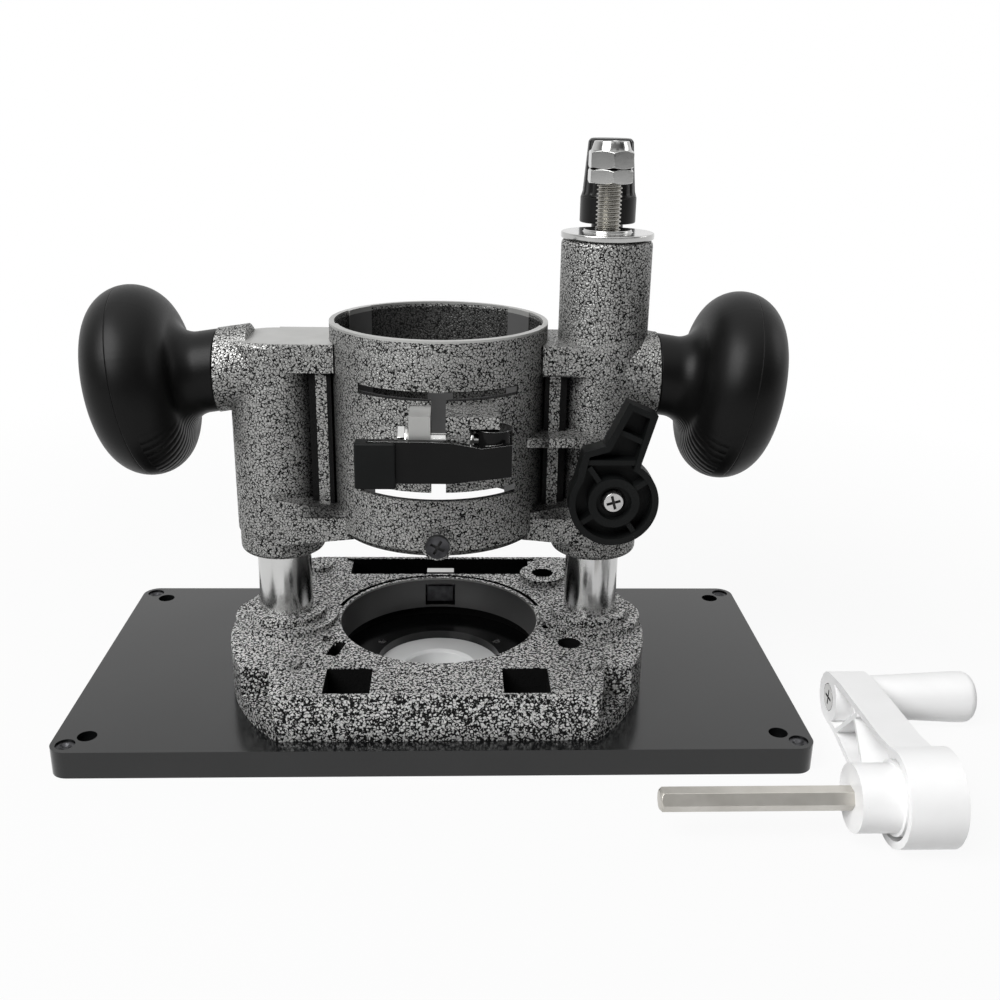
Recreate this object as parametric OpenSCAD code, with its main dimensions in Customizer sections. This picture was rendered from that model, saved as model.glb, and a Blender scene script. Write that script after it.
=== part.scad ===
// Trim router lift on a table insert plate, with its loose lift crank.
// Millimetres, +Z up. Origin: centre of the insert plate on its table-side face.
// Azimuths are counter-clockwise from +X. The camera side of the object is -Y.

/* [Insert plate] */
// Length of the insert plate
plate_w = 235; // [225:1:260]
// Depth of the insert plate
plate_d = 120; // [116:1:140]
// Thickness of the insert plate
plate_t = 9; // [8:0.5:12]
// Corner radius of the plate
plate_corner_r = 5.5; // [5:0.5:8]
// Diameter of the four fixing holes
fix_hole_d = 6; // [4:0.1:7]
// Distance of the fixing holes from the plate's ends
fix_inset_x = 9.9; // [9:0.1:14]
// Distance of the fixing holes from the plate's long edges
fix_inset_y = 9.4; // [9:0.1:14]
// Diameter of the levelling grub screws
level_d = 5.9; // [4:0.1:6]
// Distance of the levelling screws from both edges
level_inset = 4.7; // [4.7:0.1:6]

/* [Insert ring] */
// Radius of the plate's hole over the ring
plate_hole_r = 21.6; // [18:0.1:24]
// Outer radius of the ring
ring_r = 28; // [27.5:0.1:30]
// Radius of the bit opening
bit_r = 12; // [6:0.5:14]
// Thickness of the ring
ring_t = 6; // [4:0.5:7]

/* [Base casting] */
// Height of the base casting
base_h = 16; // [14:1:22]
// Radius of the rounded sides
base_r = 70; // [68:1:80]
// Half the depth of the casting
base_half_d = 54.5; // [52:0.5:58]
// Radius of the round opening
base_opening_r = 34; // [28:0.5:36]

/* [Posts] */
// Distance between the two post axes
post_pitch = 105; // [100:1:112]
// Outside diameter of the posts
post_d = 18; // [16:0.5:20]
// Bore of the tubular posts
post_bore_d = 13; // [12.6:0.1:14]
// Length of the left post
left_post_l = 81; // [76:1:82]
// Length of the right post
right_post_l = 101; // [96:1:102]

/* [Carriage] */
// Height of the carriage above the base, as shown
lift_gap = 27; // [12:0.5:36]
// Radius of the left column
left_col_r = 14; // [13.5:0.1:16]
// Height of the left column
left_col_h = 72; // [70:1:80]
// Radius of the right column
right_col_r = 14.3; // [13.5:0.1:16]
// Height of the right column
right_col_h = 103.7; // [101:0.1:120]
// Radius of the motor body that the collar clamps
motor_r = 32.5; // [30:0.1:32.8]
// Wall of the collar
collar_wall = 2.2; // [1.8:0.1:3.5]
// Height of the collar
collar_h = 65.6; // [60:0.1:75]
// Wall of the bushings
bushing_wall = 1.95; // [1.5:0.05:2.2]

/* [Lead screw] */
// Outside diameter of the lead screw's thread
screw_d = 7.9; // [6.9:0.1:8.4]
// Distance that the carriage can still rise, under the stop nut
rise = 13.4; // [8:0.1:16]
// Width across the flats of the nuts
nut_af = 13; // [12:0.5:14]
// Width across the flats of the crank's hexagon
crank_af = 6; // [5:0.1:7.4]

/* [Handles and levers] */
// Largest radius of the handles
handle_r = 30.5; // [26:0.5:34]
// Droop of the handles below level
handle_droop = 8.6; // [0:0.1:12]
// Radius of the plunge lock lever's hub
lock_hub_r = 14; // [12:0.5:15]
// Diameter of the depth rod
depth_rod_d = 6; // [5:0.5:7]

/* [Crank] */
// Throw of the crank, from shaft to grip
crank_throw = 65.7; // [55:0.1:80]
// Radius of the crank's hub
crank_hub_r = 14; // [12:0.5:16]
// Length of the hexagonal shaft outside the hub
crank_shaft_l = 54; // [40:0.5:70]

/* [Hidden] */
$fn = 96;
cut = 0.5;            // how far a cutter runs past a face
fit = 0.05;           // radial clearance of pressed, sliding and turning fits
seat = 0.3;           // gap between a seated piece and what carries it
gap = 0.3;            // clearance between a moving piece and what it passes
screw_clear = 0.15;   // radial clearance round the small screws
root = 4;             // how far a lug or boss reaches into what carries it
slack = 0.2;          // shortening that keeps a captive piece off its seat's end
steel = [0.66, 0.67, 0.69];
chrome = [0.86, 0.87, 0.89];
black = [0.09, 0.09, 0.1];
casting_grey = [0.5, 0.51, 0.53];
white = [0.93, 0.93, 0.92];
bronze = [0.72, 0.55, 0.25];

// Heights on the base
base_top = plate_t + base_h;
post_x = post_pitch / 2;
post_r = post_d / 2;
post_bore_r = post_bore_d / 2;
post_z = plate_t + 4;
boss_r = post_r + 4.5;
boss_skirt_r = post_r + 8.5;
boss_top = base_top + 4.5;
boss_step = base_top + 2;
rim_centre_y = -5;
ear_xy = [46, 46];    // centres of the rounded rear corners
rebate_r = base_opening_r + 2.5;
rebate_h = 4;
rim_groove_r = [base_opening_r + 1.4, base_opening_r + 2.9];
rim_groove_a = [15, 165];
rim_groove_depth = 1.8;
keyway_wall = 0.6;    // clearance beside the latch's tongue
keyway_in = 6;        // how far the keyway reaches in front of the rear pocket
pocket_floor = plate_t + 3;
front_pocket_xy = [27.75, -45.15];
front_pocket_size = [14.5, 16.3];
back_pocket_y = 37.8;
back_pocket_w = 68;
pocket_wall = 1.6;
pocket_lip = 2.5;     // step at the rear pocket's ends and rear
pocket_lip_h = 8;
notch_x = 53.5;
notch_front_x = 50.5;
notch_y = -36.5;
notch_z = plate_t + 6;
base_screws_xy = [[48.2, -35.3], [-48.2, -35.3], [46, 43.9], [-46, 43.9]];
base_screw_r = 2.5;
base_screw_head_r = 4.8;
base_screw_head_h = 2.4;
base_screw_top = base_top - 4;
screw_boss_r = 4.6;
screw_boss_h = 1.6;
rear_hole_xy = [38.7, 34.5];
rear_hole_r = 4;
rear_boss_r = 8.5;
rear_boss_h = 2;
front_hole_xy = [43.7, -20];
front_hole_r = 3.75;
hole_skin = 5;        // floor left under the blind holes
small_hole_xy = [37, -7.5];
small_hole_r = 1.6;
small_hole_depth = 5;
tool_slot_xy = [-33.5, -23.6];
tool_slot_size = [4, 10, 5];
tool_step_xy = [-36.2, -16.5];
tool_step_size = [5, 4.4, 2];
tool_slot_turn = -14;
rim_nick_xy = [37.4, 0.5];
rim_nick_size = [3.2, 4, 1.5];
side_nick_y = 3.5;
side_nick_size = [4.4, 5.2, 4];
ring_chamfer = 1;
ring_screw_x = 20.8;
ring_screw_y = 13.2;
ring_screw_r = 1.45;
ring_screw_head_r = 2.5;
ring_screw_head_h = 1.5;
crank_hole_r = 6;
level_screw_l = 7;
level_screw_sink = 0.6;
level_socket_r = 1.5;
level_socket_depth = 3;
level_cup_r = [0.8, 2];
level_cup_depth = 0.8;

// Heights on the carriage
car_z = base_top + lift_gap;
left_top = car_z + left_col_h;
right_top = car_z + right_col_h;
collar_z = car_z + 12;
collar_top = collar_z + collar_h;
collar_r = motor_r + collar_wall;
skirt_r = collar_r - 1.6;
relief_r = motor_r + 0.6;
relief_sectors = [[45, 135], [155, 195], [-15, 25]];
col_round = 2;        // rounding of the columns' ends
col_step = 0.5;       // the left column is this much wider above its foot
col_step_z = car_z + 6.6;
bushing_r = post_r + fit + bushing_wall;
bushing_l = 12;
col_bore_r = bushing_r + fit;
left_roof = left_top - 7;
left_upper_bush = left_roof - 41;
right_upper_bush = car_z + 38;
lower_bush = car_z + 1;
nut_sleeve_r = 7.95;
nut_sleeve_l = 18;
right_bore_top = right_top - nut_sleeve_l - 0.6;
arm_top = left_top;
arm_t = 9;
right_arm_t = 9.5;
shelf_top = collar_z + 32.5;
shelf_t = 3;
shelf_y = -21;
arm_half_w = 14;
shelf_x = motor_r - 8;
web_top = arm_top - arm_t;
web_half_w = 12;
web_z = collar_z + 4;
skirt_low = collar_z - 2;
foot_web_half_w = 18;
foot_web_x = motor_r - 12;
foot_web_z = [car_z + 7, car_z + 22.7];
foot_web_in_z = collar_z + 5.2;

// Lead screw and its nuts
screw_r = screw_d / 2;
journal_r = 3;
flange_r = right_col_r + 0.2;
flange_t = 1.9;
flange_top = right_top + flange_t;
flange_lip = 0.8;
flange_lip_r = 7.5;
stop_nut_z = flange_top + flange_lip + rise + gap;
stop_nut_t = 4.4;
lock_nut_hex = 5.4;
lock_nut_dome = 2.6;
lock_nut_top = stop_nut_z + stop_nut_t + lock_nut_hex + lock_nut_dome;
nut_corner_r = nut_af / 2 / cos(30);
nut_face_r = nut_af / 2 - 0.2;
screw_end_sink = 1.2; // how far the lead screw ends below the lock nut's top
coupler_z = plate_t + 0.2;
coupler_collar_t = 2.7;
coupler_collar_r = post_r - gap;
coupler_r = post_bore_r - gap;
coupler_top = plate_t + 18;
socket_top = plate_t + 9;
socket_corner_r = (crank_af + 0.3) / 2 / cos(30);
coupler_pin_r = 1;
coupler_pin_z = (socket_top + coupler_top) / 2;
washer_z = coupler_z + coupler_collar_t + 0.1;
washer_t = post_z - washer_z - 0.15;

// Return spring in the left post
spring_wire_r = 0.9;
spring_r = post_bore_r - spring_wire_r - 0.6;
spring_turns = 22;
spring_low = post_z + seat + spring_wire_r;
spring_high = left_roof - seat - spring_wire_r;
coil_steps = 8;
wire_sides = 6;

// Motor clamp
slot_half_w = 24;
slot_top_z = [collar_z + 47.9, collar_z + 50.3];
slot_low_z = [collar_z + 16.3, collar_z + 19.2];
slit_x = [-1.9, 2.5];
lug_y = -collar_r - 12.8;
lug_z = [collar_z + 32, collar_z + 46.6];
left_lug_x = -8.1;
right_lug_x = 9.5;
finger_x = 17.9;
finger_z = lug_z[1] - 3.6;
bolt_y = -collar_r - 8.3;
bolt_z = collar_z + 38;
bolt_r = 2.5;
bolt_head_t = 2.1;
bolt_head_af = 8;
bolt_washer_t = 1.2;
bolt_washer_r = 4.5;
cam_x = 17;
cam_r = 5.5;
cam_offset = 0.6;
cam_z = [bolt_z - 5.6, bolt_z + 4.3];
cam_pin_r = 1.5;
eye_r = 2.9;
strip_t = 2.4;
strip_y = bolt_y - cam_r - strip_t + 0.6;
tip_x = [-23.5, -11.7];
tip_z = [collar_z + 26.1, collar_z + 39.8];
tip_half_t = 2.8;
strip_x = [tip_x[0] + 4, cam_x + 4.6];
strip_z = [bolt_z - 10.6, bolt_z + 2];
strip_dip = [4, -4];  // where the upper edge bends, measured from the bolt's middle
strip_heel = 2.1;     // rise of the lower edge towards the cam
collar_screw_z = collar_z + 2.6;
collar_screw_r = 2;
collar_screw_head_r = 3.7;
collar_boss_y = -collar_r - 1.3;
collar_boss_r = 5;
collar_screw_head_t = 2;
collar_cross_l = 2.4;
jaw_depth = 15;       // how far back the clamping slots reach from the collar's bore

// Plunge lock
lock_x = post_x + 2.1;
lock_z = car_z + 26.3;
lock_boss_r = 9.5;
lock_boss_y = -right_col_r - 8.3;
lever_back_y = lock_boss_y - gap;
lever_front_y = lever_back_y - 7;
lever_floor = 2;
lever_wall = 2;
lock_bolt_r = 3.9;
lock_bolt_in_y = -col_bore_r - 1.4;
lock_pad_y = -post_r - 0.4;
lever_ring_r = 8;
lever_outline = [[3.1, 32.1], [12.2, 28.1], [6.2, 6.7], [0, -2], [-13, 2.8], [-10, 16.4], [-3.4, 18.4]];
lever_recess = [[4.3, 29.6], [9.7, 27.2], [4.4, 5.6], [0, -1], [-10.7, 2.3], [-8.2, 14.9], [-1.9, 16.8]];
lever_screw_r = 1.9;
lever_screw_head_r = 4;
lever_screw_head_t = 2;
lever_cross_l = 2.2;  // half length of the lever screw's cross
lever_head_sink = 2.6;
lever_rib_t = 1.6;
lever_rib_sink = 0.6;
lever_spokes = [35, 125, 215, 305];
lever_cross_ribs = [[13, 0], [21.2, -24]];   // distance from the hub's axis, and turn
lever_hex_r = 3.2;
lever_hex_t = 3;
lever_screw_l = 3;    // how far the lever's screw reaches into the lock bolt
lever_recess_wide = 1.5;
cross_w = 0.8;        // width of the screws' cross recesses
cross_depth = 0.8;

// Handles
handle_z = left_top - 8.7;
handle_face = 17.5;
handle_stem_r = 13;
handle_neck_r = 7;
handle_end = 57.2;
handle_rim_r = 13;
handle_rim_in = 1.6;  // how far the rim lies behind the middle of the dome
handle_dome_r = 80;
handle_hub_r = handle_r - handle_rim_r;
rim_z = handle_end - handle_rim_r - handle_rim_in;
neck_out = handle_stem_r + handle_neck_r;
neck_pitch = handle_rim_r + handle_neck_r;
neck_offset = neck_out - handle_hub_r;
handle_neck = rim_z - sqrt(neck_pitch * neck_pitch - neck_offset * neck_offset);
neck_touch_r = handle_hub_r + handle_rim_r * neck_offset / neck_pitch;
stud_r = 4;
stud_in = 12.2;
stud_out = 40;
stub_in = 6;          // where the casting's stub starts, measured from the column's axis
stub_reach = 5;       // how far stub and stem run past the joint before it is cut upright

// Depth stop
depth_x = post_x + 3.1;
depth_y = right_col_r + 10.7;
depth_rod_r = depth_rod_d / 2;
depth_lug_r = depth_rod_r + 4;
depth_lug_z = [car_z + 18, car_z + 66];
depth_lug_h = [10, 16];
depth_rod_z = car_z + 14;
depth_knob_z = car_z + 100;
depth_knob_h = 32.6;
depth_knob_bore = 17;
depth_knob_profile = [[0, 0], [5.25, 0], [5.25, 6], [9.25, 6], [9.25, 14], [8.6, 16],
    [7.35, depth_knob_h - 1], [6.6, depth_knob_h], [0, depth_knob_h]];
depth_lug_half_w = 5;
thumb_z = depth_lug_z[1] + 8;
thumb_r = 2.45;
thumb_head_r = 7;
thumb_head_t = 9;

// Guide latch in the rear pocket
latch_w = 32;
latch_y = [39.5, 43.5];
latch_z = [pocket_floor + seat, pocket_floor + 8];
tab_half_w = 5.2;
tab_h = 4.4;
tab_back = 1.5;       // how far the tab is set back on the latch
tongue_half_w = 5;
tongue_z = [plate_t + 6, plate_t + 12.5];
tongue_end_y = base_opening_r + 0.6;

// Crank as it lies beside the plate
crank_x = plate_w / 2 + 10;
crank_y = -plate_d / 2 - 33;
crank_arm_t = 16;
crank_slab_t = 12;
crank_end_r = 8.5;
crank_end_x = crank_x + 3.5;
crank_drop = crank_hub_r - crank_end_r;
crank_end_y = crank_y + sqrt(crank_throw * crank_throw - crank_drop * crank_drop);
crank_stub_r = 9.6;
crank_stub_l = 11.5;
crank_wall = 2.2;
crank_rib_t = 1.6;
crank_rib_l = 28;
crank_ribs_at = [[12, -38], [30, 38], [46, -38]];   // distance along the arm, and turn
crank_tip_r = crank_af / 2 - 0.4;
crank_skin = 2;       // floor left behind the ribs
crank_socket_l = 12;  // how far the shaft reaches into the arm
grip_round = 3;
grip_taper_l = 29.4;
grip_end_wall = 5;
grip_l = 35.4;
grip_start_r = 7;
grip_screw_r = 2.5;
grip_screw_head_r = 4.4;
grip_screw_head_t = 2.5;
grip_cross_l = 2.6;
grip_screw_sink = 2.8;

// ---- Shared shapes ----

// Rectangle centred on the origin with round corners, as exact arcs
module round_rect(w, d, r) {
    square([w - 2 * r, d], center = true);
    square([w, d - 2 * r], center = true);
    for (x = [-1, 1], y = [-1, 1])
        translate([x * (w / 2 - r), y * (d / 2 - r)]) circle(r);
}

// Cylinder between two heights
module tube_z(r, z0, z1) {
    translate([0, 0, z0]) cylinder(r = r, h = z1 - z0);
}

// Box from one corner to the other
module block(low, high) {
    translate(low) cube(high - low);
}

// Ring sector between two radii, two heights and two azimuths
module sector(r_in, r_out, z0, z1, a0, a1) {
    translate([0, 0, z0]) rotate([0, 0, a0])
        rotate_extrude(angle = a1 - a0) translate([r_in, 0]) square([r_out - r_in, z1 - z0]);
}

// Stands a child, drawn along +Z, along +X
module along_x(x, y, z) {
    translate([x, y, z]) rotate([0, 90, 0]) children();
}

// Stands a child, drawn along +Z, along -Y
module along_minus_y(x, y, z) {
    translate([x, y, z]) rotate([90, 0, 0]) children();
}

// Countersunk screw, head down at z = 0, or its hole with some clearance
module countersunk(r, head_r, head_h, len, clear) {
    cylinder(r1 = head_r + clear, r2 = r + clear, h = head_h);
    translate([0, 0, head_h - 0.01]) cylinder(r = r + clear, h = len - head_h);
}

// Cross recess in a screw's face at height z, cut downwards
module cross_recess(half_l, z) {
    for (a = [0, 90])
        rotate([0, 0, a])
            block([-half_l, -cross_w / 2, z - cross_depth], [half_l, cross_w / 2, z + cut]);
}

// Hexagon nut along Z, its corners turned off at 30 degrees on both ends
module hex_nut(z, t, bore_r) {
    rise_h = (nut_corner_r + cut - nut_face_r) * tan(30);
    difference() {
        intersection() {
            translate([0, 0, z]) rotate([0, 0, 30]) cylinder(r = nut_corner_r, h = t, $fn = 6);
            rotate_extrude() polygon([[0, z], [nut_face_r, z], [nut_corner_r + cut, z + rise_h],
                [nut_corner_r + cut, z + t - rise_h], [nut_face_r, z + t], [0, z + t]]);
        }
        tube_z(bore_r, z - cut, z + t + cut);
    }
}

// ---- Insert plate and its ring ----

module insert_plate() {
    color(black) difference() {
        linear_extrude(plate_t) round_rect(plate_w, plate_d, plate_corner_r);
        for (x = [-1, 1], y = [-1, 1]) {
            translate([x * (plate_w / 2 - fix_inset_x), y * (plate_d / 2 - fix_inset_y), 0])
                tube_z(fix_hole_d / 2, -cut, plate_t + cut);
            translate([x * (plate_w / 2 - level_inset), y * (plate_d / 2 - level_inset), 0])
                tube_z(level_d / 2 + fit, -cut, plate_t + cut);
            translate([x * ring_screw_x, y * ring_screw_y, 0])
                tube_z(ring_screw_r + screw_clear, ring_t - cut, plate_t + cut);
        }
        tube_z(plate_hole_r, -cut, plate_t + cut);
        tube_z(ring_r + fit, -cut, ring_t);
        translate([post_x, 0, 0]) tube_z(crank_hole_r, -cut, plate_t + cut);
        for (p = base_screws_xy)
            translate([p[0], p[1], 0]) {
                countersunk(base_screw_r, base_screw_head_r, base_screw_head_h, plate_t + cut, fit);
                tube_z(base_screw_head_r + fit, -cut, 0);
            }
    }
}

module insert_ring() {
    color(white) difference() {
        rotate_extrude() polygon([[bit_r, 0], [ring_r, 0], [ring_r, ring_t],
            [bit_r + ring_chamfer, ring_t], [bit_r, ring_t - ring_chamfer]]);
        for (x = [-1, 1], y = [-1, 1])
            translate([x * ring_screw_x, y * ring_screw_y, 0]) {
                countersunk(ring_screw_r, ring_screw_head_r, ring_screw_head_h, ring_t + cut, screw_clear);
                tube_z(ring_screw_head_r + screw_clear, -cut, 0);
            }
    }
}

module ring_screws() {
    color(steel) for (x = [-1, 1], y = [-1, 1])
        translate([x * ring_screw_x, y * ring_screw_y, 0])
            countersunk(ring_screw_r, ring_screw_head_r, ring_screw_head_h, plate_t - 2 * slack, 0);
}

// Levelling grub screw with a hexagon socket in its table-side end and a cup point on top
module level_screw(x, y) {
    low = plate_t - level_screw_l - level_screw_sink;
    color(steel) translate([x * (plate_w / 2 - level_inset), y * (plate_d / 2 - level_inset), low])
        difference() {
            cylinder(r = level_d / 2, h = level_screw_l);
            translate([0, 0, -cut])
                cylinder(r = level_socket_r / cos(30), h = level_socket_depth + cut, $fn = 6);
            translate([0, 0, level_screw_l - level_cup_depth])
                cylinder(r1 = level_cup_r[0], r2 = level_cup_r[1], h = level_cup_depth + 0.01);
        }
}

// ---- Base casting ----

module base_outline() {
    ear_r = base_half_d - ear_xy[1];
    intersection() {
        translate([0, rim_centre_y]) circle(base_r);
        square([2 * base_r, 2 * base_half_d], center = true);
    }
    translate([-ear_xy[0], 0]) square([2 * ear_xy[0], base_half_d]);
    for (x = [-1, 1])
        translate([x * ear_xy[0], ear_xy[1]]) circle(ear_r);
}

module base_bosses() {
    for (x = [-1, 1])
        translate([x * post_x, 0, 0]) {
            tube_z(boss_skirt_r, plate_t, boss_step);
            tube_z(boss_r, plate_t, boss_top);
        }
    for (p = base_screws_xy)
        translate([p[0], p[1], 0]) tube_z(screw_boss_r, plate_t, base_top + screw_boss_h);
    translate([rear_hole_xy[0], rear_hole_xy[1], 0]) tube_z(rear_boss_r, plate_t, base_top + rear_boss_h);
}

// Front corner notches, open to the front and the side
module corner_notches() {
    front_y = -base_half_d - cut;
    for (x = [0, 1])
        mirror([x, 0, 0]) translate([0, 0, notch_z]) linear_extrude(base_h)
            polygon([[notch_x, notch_y], [notch_front_x, front_y], [base_r + cut, front_y],
                [base_r + cut, notch_y]]);
}

module base_pockets() {
    size = front_pocket_size;
    rear_y = base_half_d - pocket_wall;
    for (x = [-1, 1])
        translate([x * front_pocket_xy[0] - size[0] / 2, front_pocket_xy[1] - size[1] / 2, pocket_floor])
            cube([size[0], size[1], base_h]);
    block([-back_pocket_w / 2, back_pocket_y, pocket_floor], [back_pocket_w / 2, rear_y, base_top + cut]);
    block([-back_pocket_w / 2 - pocket_lip, rear_y - pocket_lip, pocket_floor + pocket_lip_h],
        [back_pocket_w / 2 + pocket_lip, rear_y, base_top + cut]);
}

// Rectangular sinking in the base's top, turned about its own middle
module top_sinking(xy, size, turn) {
    translate([xy[0], xy[1], base_top - size[2]]) rotate([0, 0, turn])
        translate([-size[0] / 2, -size[1] / 2, 0]) cube([size[0], size[1], size[2] + cut]);
}

module base_small_cuts() {
    translate([rear_hole_xy[0], rear_hole_xy[1], 0])
        tube_z(rear_hole_r, plate_t + hole_skin, base_top + rear_boss_h + cut);
    translate([front_hole_xy[0], front_hole_xy[1], 0])
        tube_z(front_hole_r, plate_t + hole_skin, boss_step + cut);
    translate([small_hole_xy[0], small_hole_xy[1], 0])
        tube_z(small_hole_r, base_top - small_hole_depth, base_top + cut);
    top_sinking(tool_slot_xy, tool_slot_size, tool_slot_turn);
    top_sinking(tool_step_xy, tool_step_size, tool_slot_turn);
    for (x = [-1, 1]) {
        top_sinking([x * rim_nick_xy[0], rim_nick_xy[1]], rim_nick_size, 0);
        top_sinking([x * base_r, side_nick_y], side_nick_size, 0);
    }
}

module base_casting() {
    color(casting_grey) difference() {
        union() {
            difference() {
                translate([0, 0, plate_t]) linear_extrude(base_h) base_outline();
                corner_notches();
            }
            base_bosses();
        }
        tube_z(base_opening_r, plate_t - cut, boss_top + cut);
        tube_z(rebate_r, plate_t - cut, plate_t + rebate_h);
        sector(rim_groove_r[0], rim_groove_r[1], base_top - rim_groove_depth, boss_step + cut,
            rim_groove_a[0], rim_groove_a[1]);
        block([-tongue_half_w - keyway_wall, back_pocket_y - keyway_in, tongue_z[0] - 2 * keyway_wall],
            [tongue_half_w + keyway_wall, back_pocket_y + cut, tongue_z[1] + 2 * keyway_wall]);
        base_pockets();
        base_small_cuts();
        translate([-post_x, 0, 0]) tube_z(post_r + fit, post_z, boss_top + cut);
        translate([post_x, 0, 0]) tube_z(post_r + fit, plate_t - cut, boss_top + cut);
        for (p = base_screws_xy)
            translate([p[0], p[1], 0]) tube_z(base_screw_r + fit, plate_t - cut, base_screw_top + seat);
    }
}

module base_screws() {
    color(steel) for (p = base_screws_xy)
        translate([p[0], p[1], 0])
            countersunk(base_screw_r, base_screw_head_r, base_screw_head_h, base_screw_top, 0);
}

module guide_latch() {
    color(black) {
        block([-latch_w / 2, latch_y[0], latch_z[0]], [latch_w / 2, latch_y[1], latch_z[1]]);
        block([-tongue_half_w, tongue_end_y, tongue_z[0]], [tongue_half_w, latch_y[0] + cut, tongue_z[1]]);
    }
}

module latch_tab() {
    color(chrome) translate([0, 0, latch_z[1]])
        block([-tab_half_w, latch_y[0] + tab_back, 0], [tab_half_w, latch_y[1] + tab_back, tab_h]);
}

// ---- Posts, spring and lead screw ----

module post(x, len) {
    color(chrome) translate([x, 0, 0]) difference() {
        tube_z(post_r, post_z, post_z + len);
        tube_z(post_bore_r, post_z - cut, post_z + len + cut);
    }
}

// One ring of the wire at step i, square to the coil's own slope
function wire_ring(i, total) =
    let (a = 360 * i / coil_steps,
         slope = atan((spring_high - spring_low) / (spring_turns * 2 * PI * spring_r)))
    [for (k = [0 : wire_sides - 1])
        let (b = 360 * k / wire_sides, out = spring_wire_r * cos(b), up = spring_wire_r * sin(b))
        [(spring_r + out) * cos(a) + up * sin(slope) * sin(a),
         (spring_r + out) * sin(a) - up * sin(slope) * cos(a),
         spring_low + (spring_high - spring_low) * i / total + up * cos(slope)]];

module return_spring() {
    total = spring_turns * coil_steps;
    points = [for (i = [0 : total]) each wire_ring(i, total)];
    sides = [for (i = [0 : total - 1], k = [0 : wire_sides - 1])
        let (a = i * wire_sides + k, b = i * wire_sides + (k + 1) % wire_sides)
        each [[a, a + wire_sides, b], [b, a + wire_sides, b + wire_sides]]];
    first = [[for (k = [0 : wire_sides - 1]) k]];
    last = [[for (k = [wire_sides - 1 : -1 : 0]) total * wire_sides + k]];
    color(steel) translate([-post_x, 0, 0]) polyhedron(points, concat(sides, first, last));
}

module thrust_washer() {
    color(steel) translate([post_x, 0, 0]) difference() {
        tube_z(coupler_collar_r, washer_z, washer_z + washer_t);
        tube_z(coupler_r + screw_clear, washer_z - cut, washer_z + washer_t + cut);
    }
}

module drive_coupler() {
    color(steel) translate([post_x, 0, 0]) difference() {
        union() {
            tube_z(coupler_collar_r, coupler_z, coupler_z + coupler_collar_t);
            tube_z(coupler_r, coupler_z, coupler_top);
        }
        translate([0, 0, coupler_z - cut])
            cylinder(r = socket_corner_r, h = socket_top - coupler_z + cut, $fn = 6);
        tube_z(journal_r + fit, socket_top - cut, coupler_top + cut);
        along_x(-coupler_r - cut, 0, coupler_pin_z)
            cylinder(r = coupler_pin_r + fit, h = 2 * coupler_r + 2 * cut);
    }
}

module coupler_pin() {
    color(steel) along_x(post_x - coupler_r + slack, 0, coupler_pin_z)
        cylinder(r = coupler_pin_r, h = 2 * coupler_r - 2 * slack);
}

module lead_screw() {
    color(steel) translate([post_x, 0, 0]) difference() {
        union() {
            tube_z(screw_r, coupler_top, lock_nut_top - screw_end_sink);
            tube_z(journal_r, socket_top + 0.5, coupler_top + cut);
        }
        along_x(-journal_r - cut, 0, coupler_pin_z)
            cylinder(r = coupler_pin_r + fit, h = 2 * journal_r + 2 * cut);
    }
}

module stop_nut() {
    color(chrome) translate([post_x, 0, 0]) hex_nut(stop_nut_z, stop_nut_t, screw_r + fit);
}

module lock_nut() {
    z = stop_nut_z + stop_nut_t;
    color(chrome) translate([post_x, 0, 0]) {
        hex_nut(z, lock_nut_hex, screw_r + fit);
        difference() {
            translate([0, 0, z + lock_nut_hex - cut])
                cylinder(r1 = nut_face_r, r2 = nut_face_r - 1, h = lock_nut_dome + cut);
            tube_z(screw_r + fit, z, z + lock_nut_hex + lock_nut_dome + cut);
        }
    }
}

module lift_nut() {
    color(chrome) translate([post_x, 0, 0]) difference() {
        union() {
            tube_z(nut_sleeve_r, right_top - nut_sleeve_l, right_top + cut);
            tube_z(flange_r, right_top, flange_top);
            tube_z(flange_lip_r, right_top, flange_top + flange_lip);
        }
        tube_z(screw_r + fit, right_top - nut_sleeve_l - cut, flange_top + 2);
    }
}

// ---- Carriage ----

// Upright column with rounded edges at both ends
module round_column(r, z0, z1) {
    rotate_extrude() {
        translate([0, z0]) square([r - col_round, z1 - z0]);
        translate([0, z0 + col_round]) square([r, z1 - z0 - 2 * col_round]);
        for (z = [z0 + col_round, z1 - col_round])
            translate([r - col_round, z]) circle(col_round);
    }
}

// Left or right half of the foot web, drawn in the XZ plane and pushed through in Y
module foot_web(side) {
    translate([0, foot_web_half_w, 0]) rotate([90, 0, 0]) linear_extrude(2 * foot_web_half_w)
        polygon([[side * foot_web_x, skirt_low], [side * post_x, foot_web_z[0]],
            [side * post_x, foot_web_z[1]], [side * foot_web_x, foot_web_in_z]]);
}

module columns() {
    translate([-post_x, 0, 0]) {
        round_column(left_col_r, car_z, left_top - col_round);
        round_column(left_col_r + col_step, col_step_z, left_top);
    }
    translate([post_x, 0, 0]) round_column(right_col_r, car_z, right_top);
}

module arms() {
    block([-post_x, -arm_half_w, web_top], [-motor_r, arm_half_w, arm_top]);
    block([motor_r, -arm_half_w, arm_top - right_arm_t], [post_x, arm_half_w, arm_top]);
    block([shelf_x, shelf_y, shelf_top - shelf_t], [post_x, arm_half_w, shelf_top]);
    for (x = [0, 1])
        mirror([x, 0, 0])
            block([collar_r - collar_wall / 2, -web_half_w, web_z],
                [post_x - left_col_r + root / 2, web_half_w, web_top]);
}

// Stub that carries a handle, from the column outwards; side is -1 or 1
module handle_place(side) {
    translate([side * post_x, 0, handle_z]) rotate([0, side * (90 + handle_droop), 0]) children();
}

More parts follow.
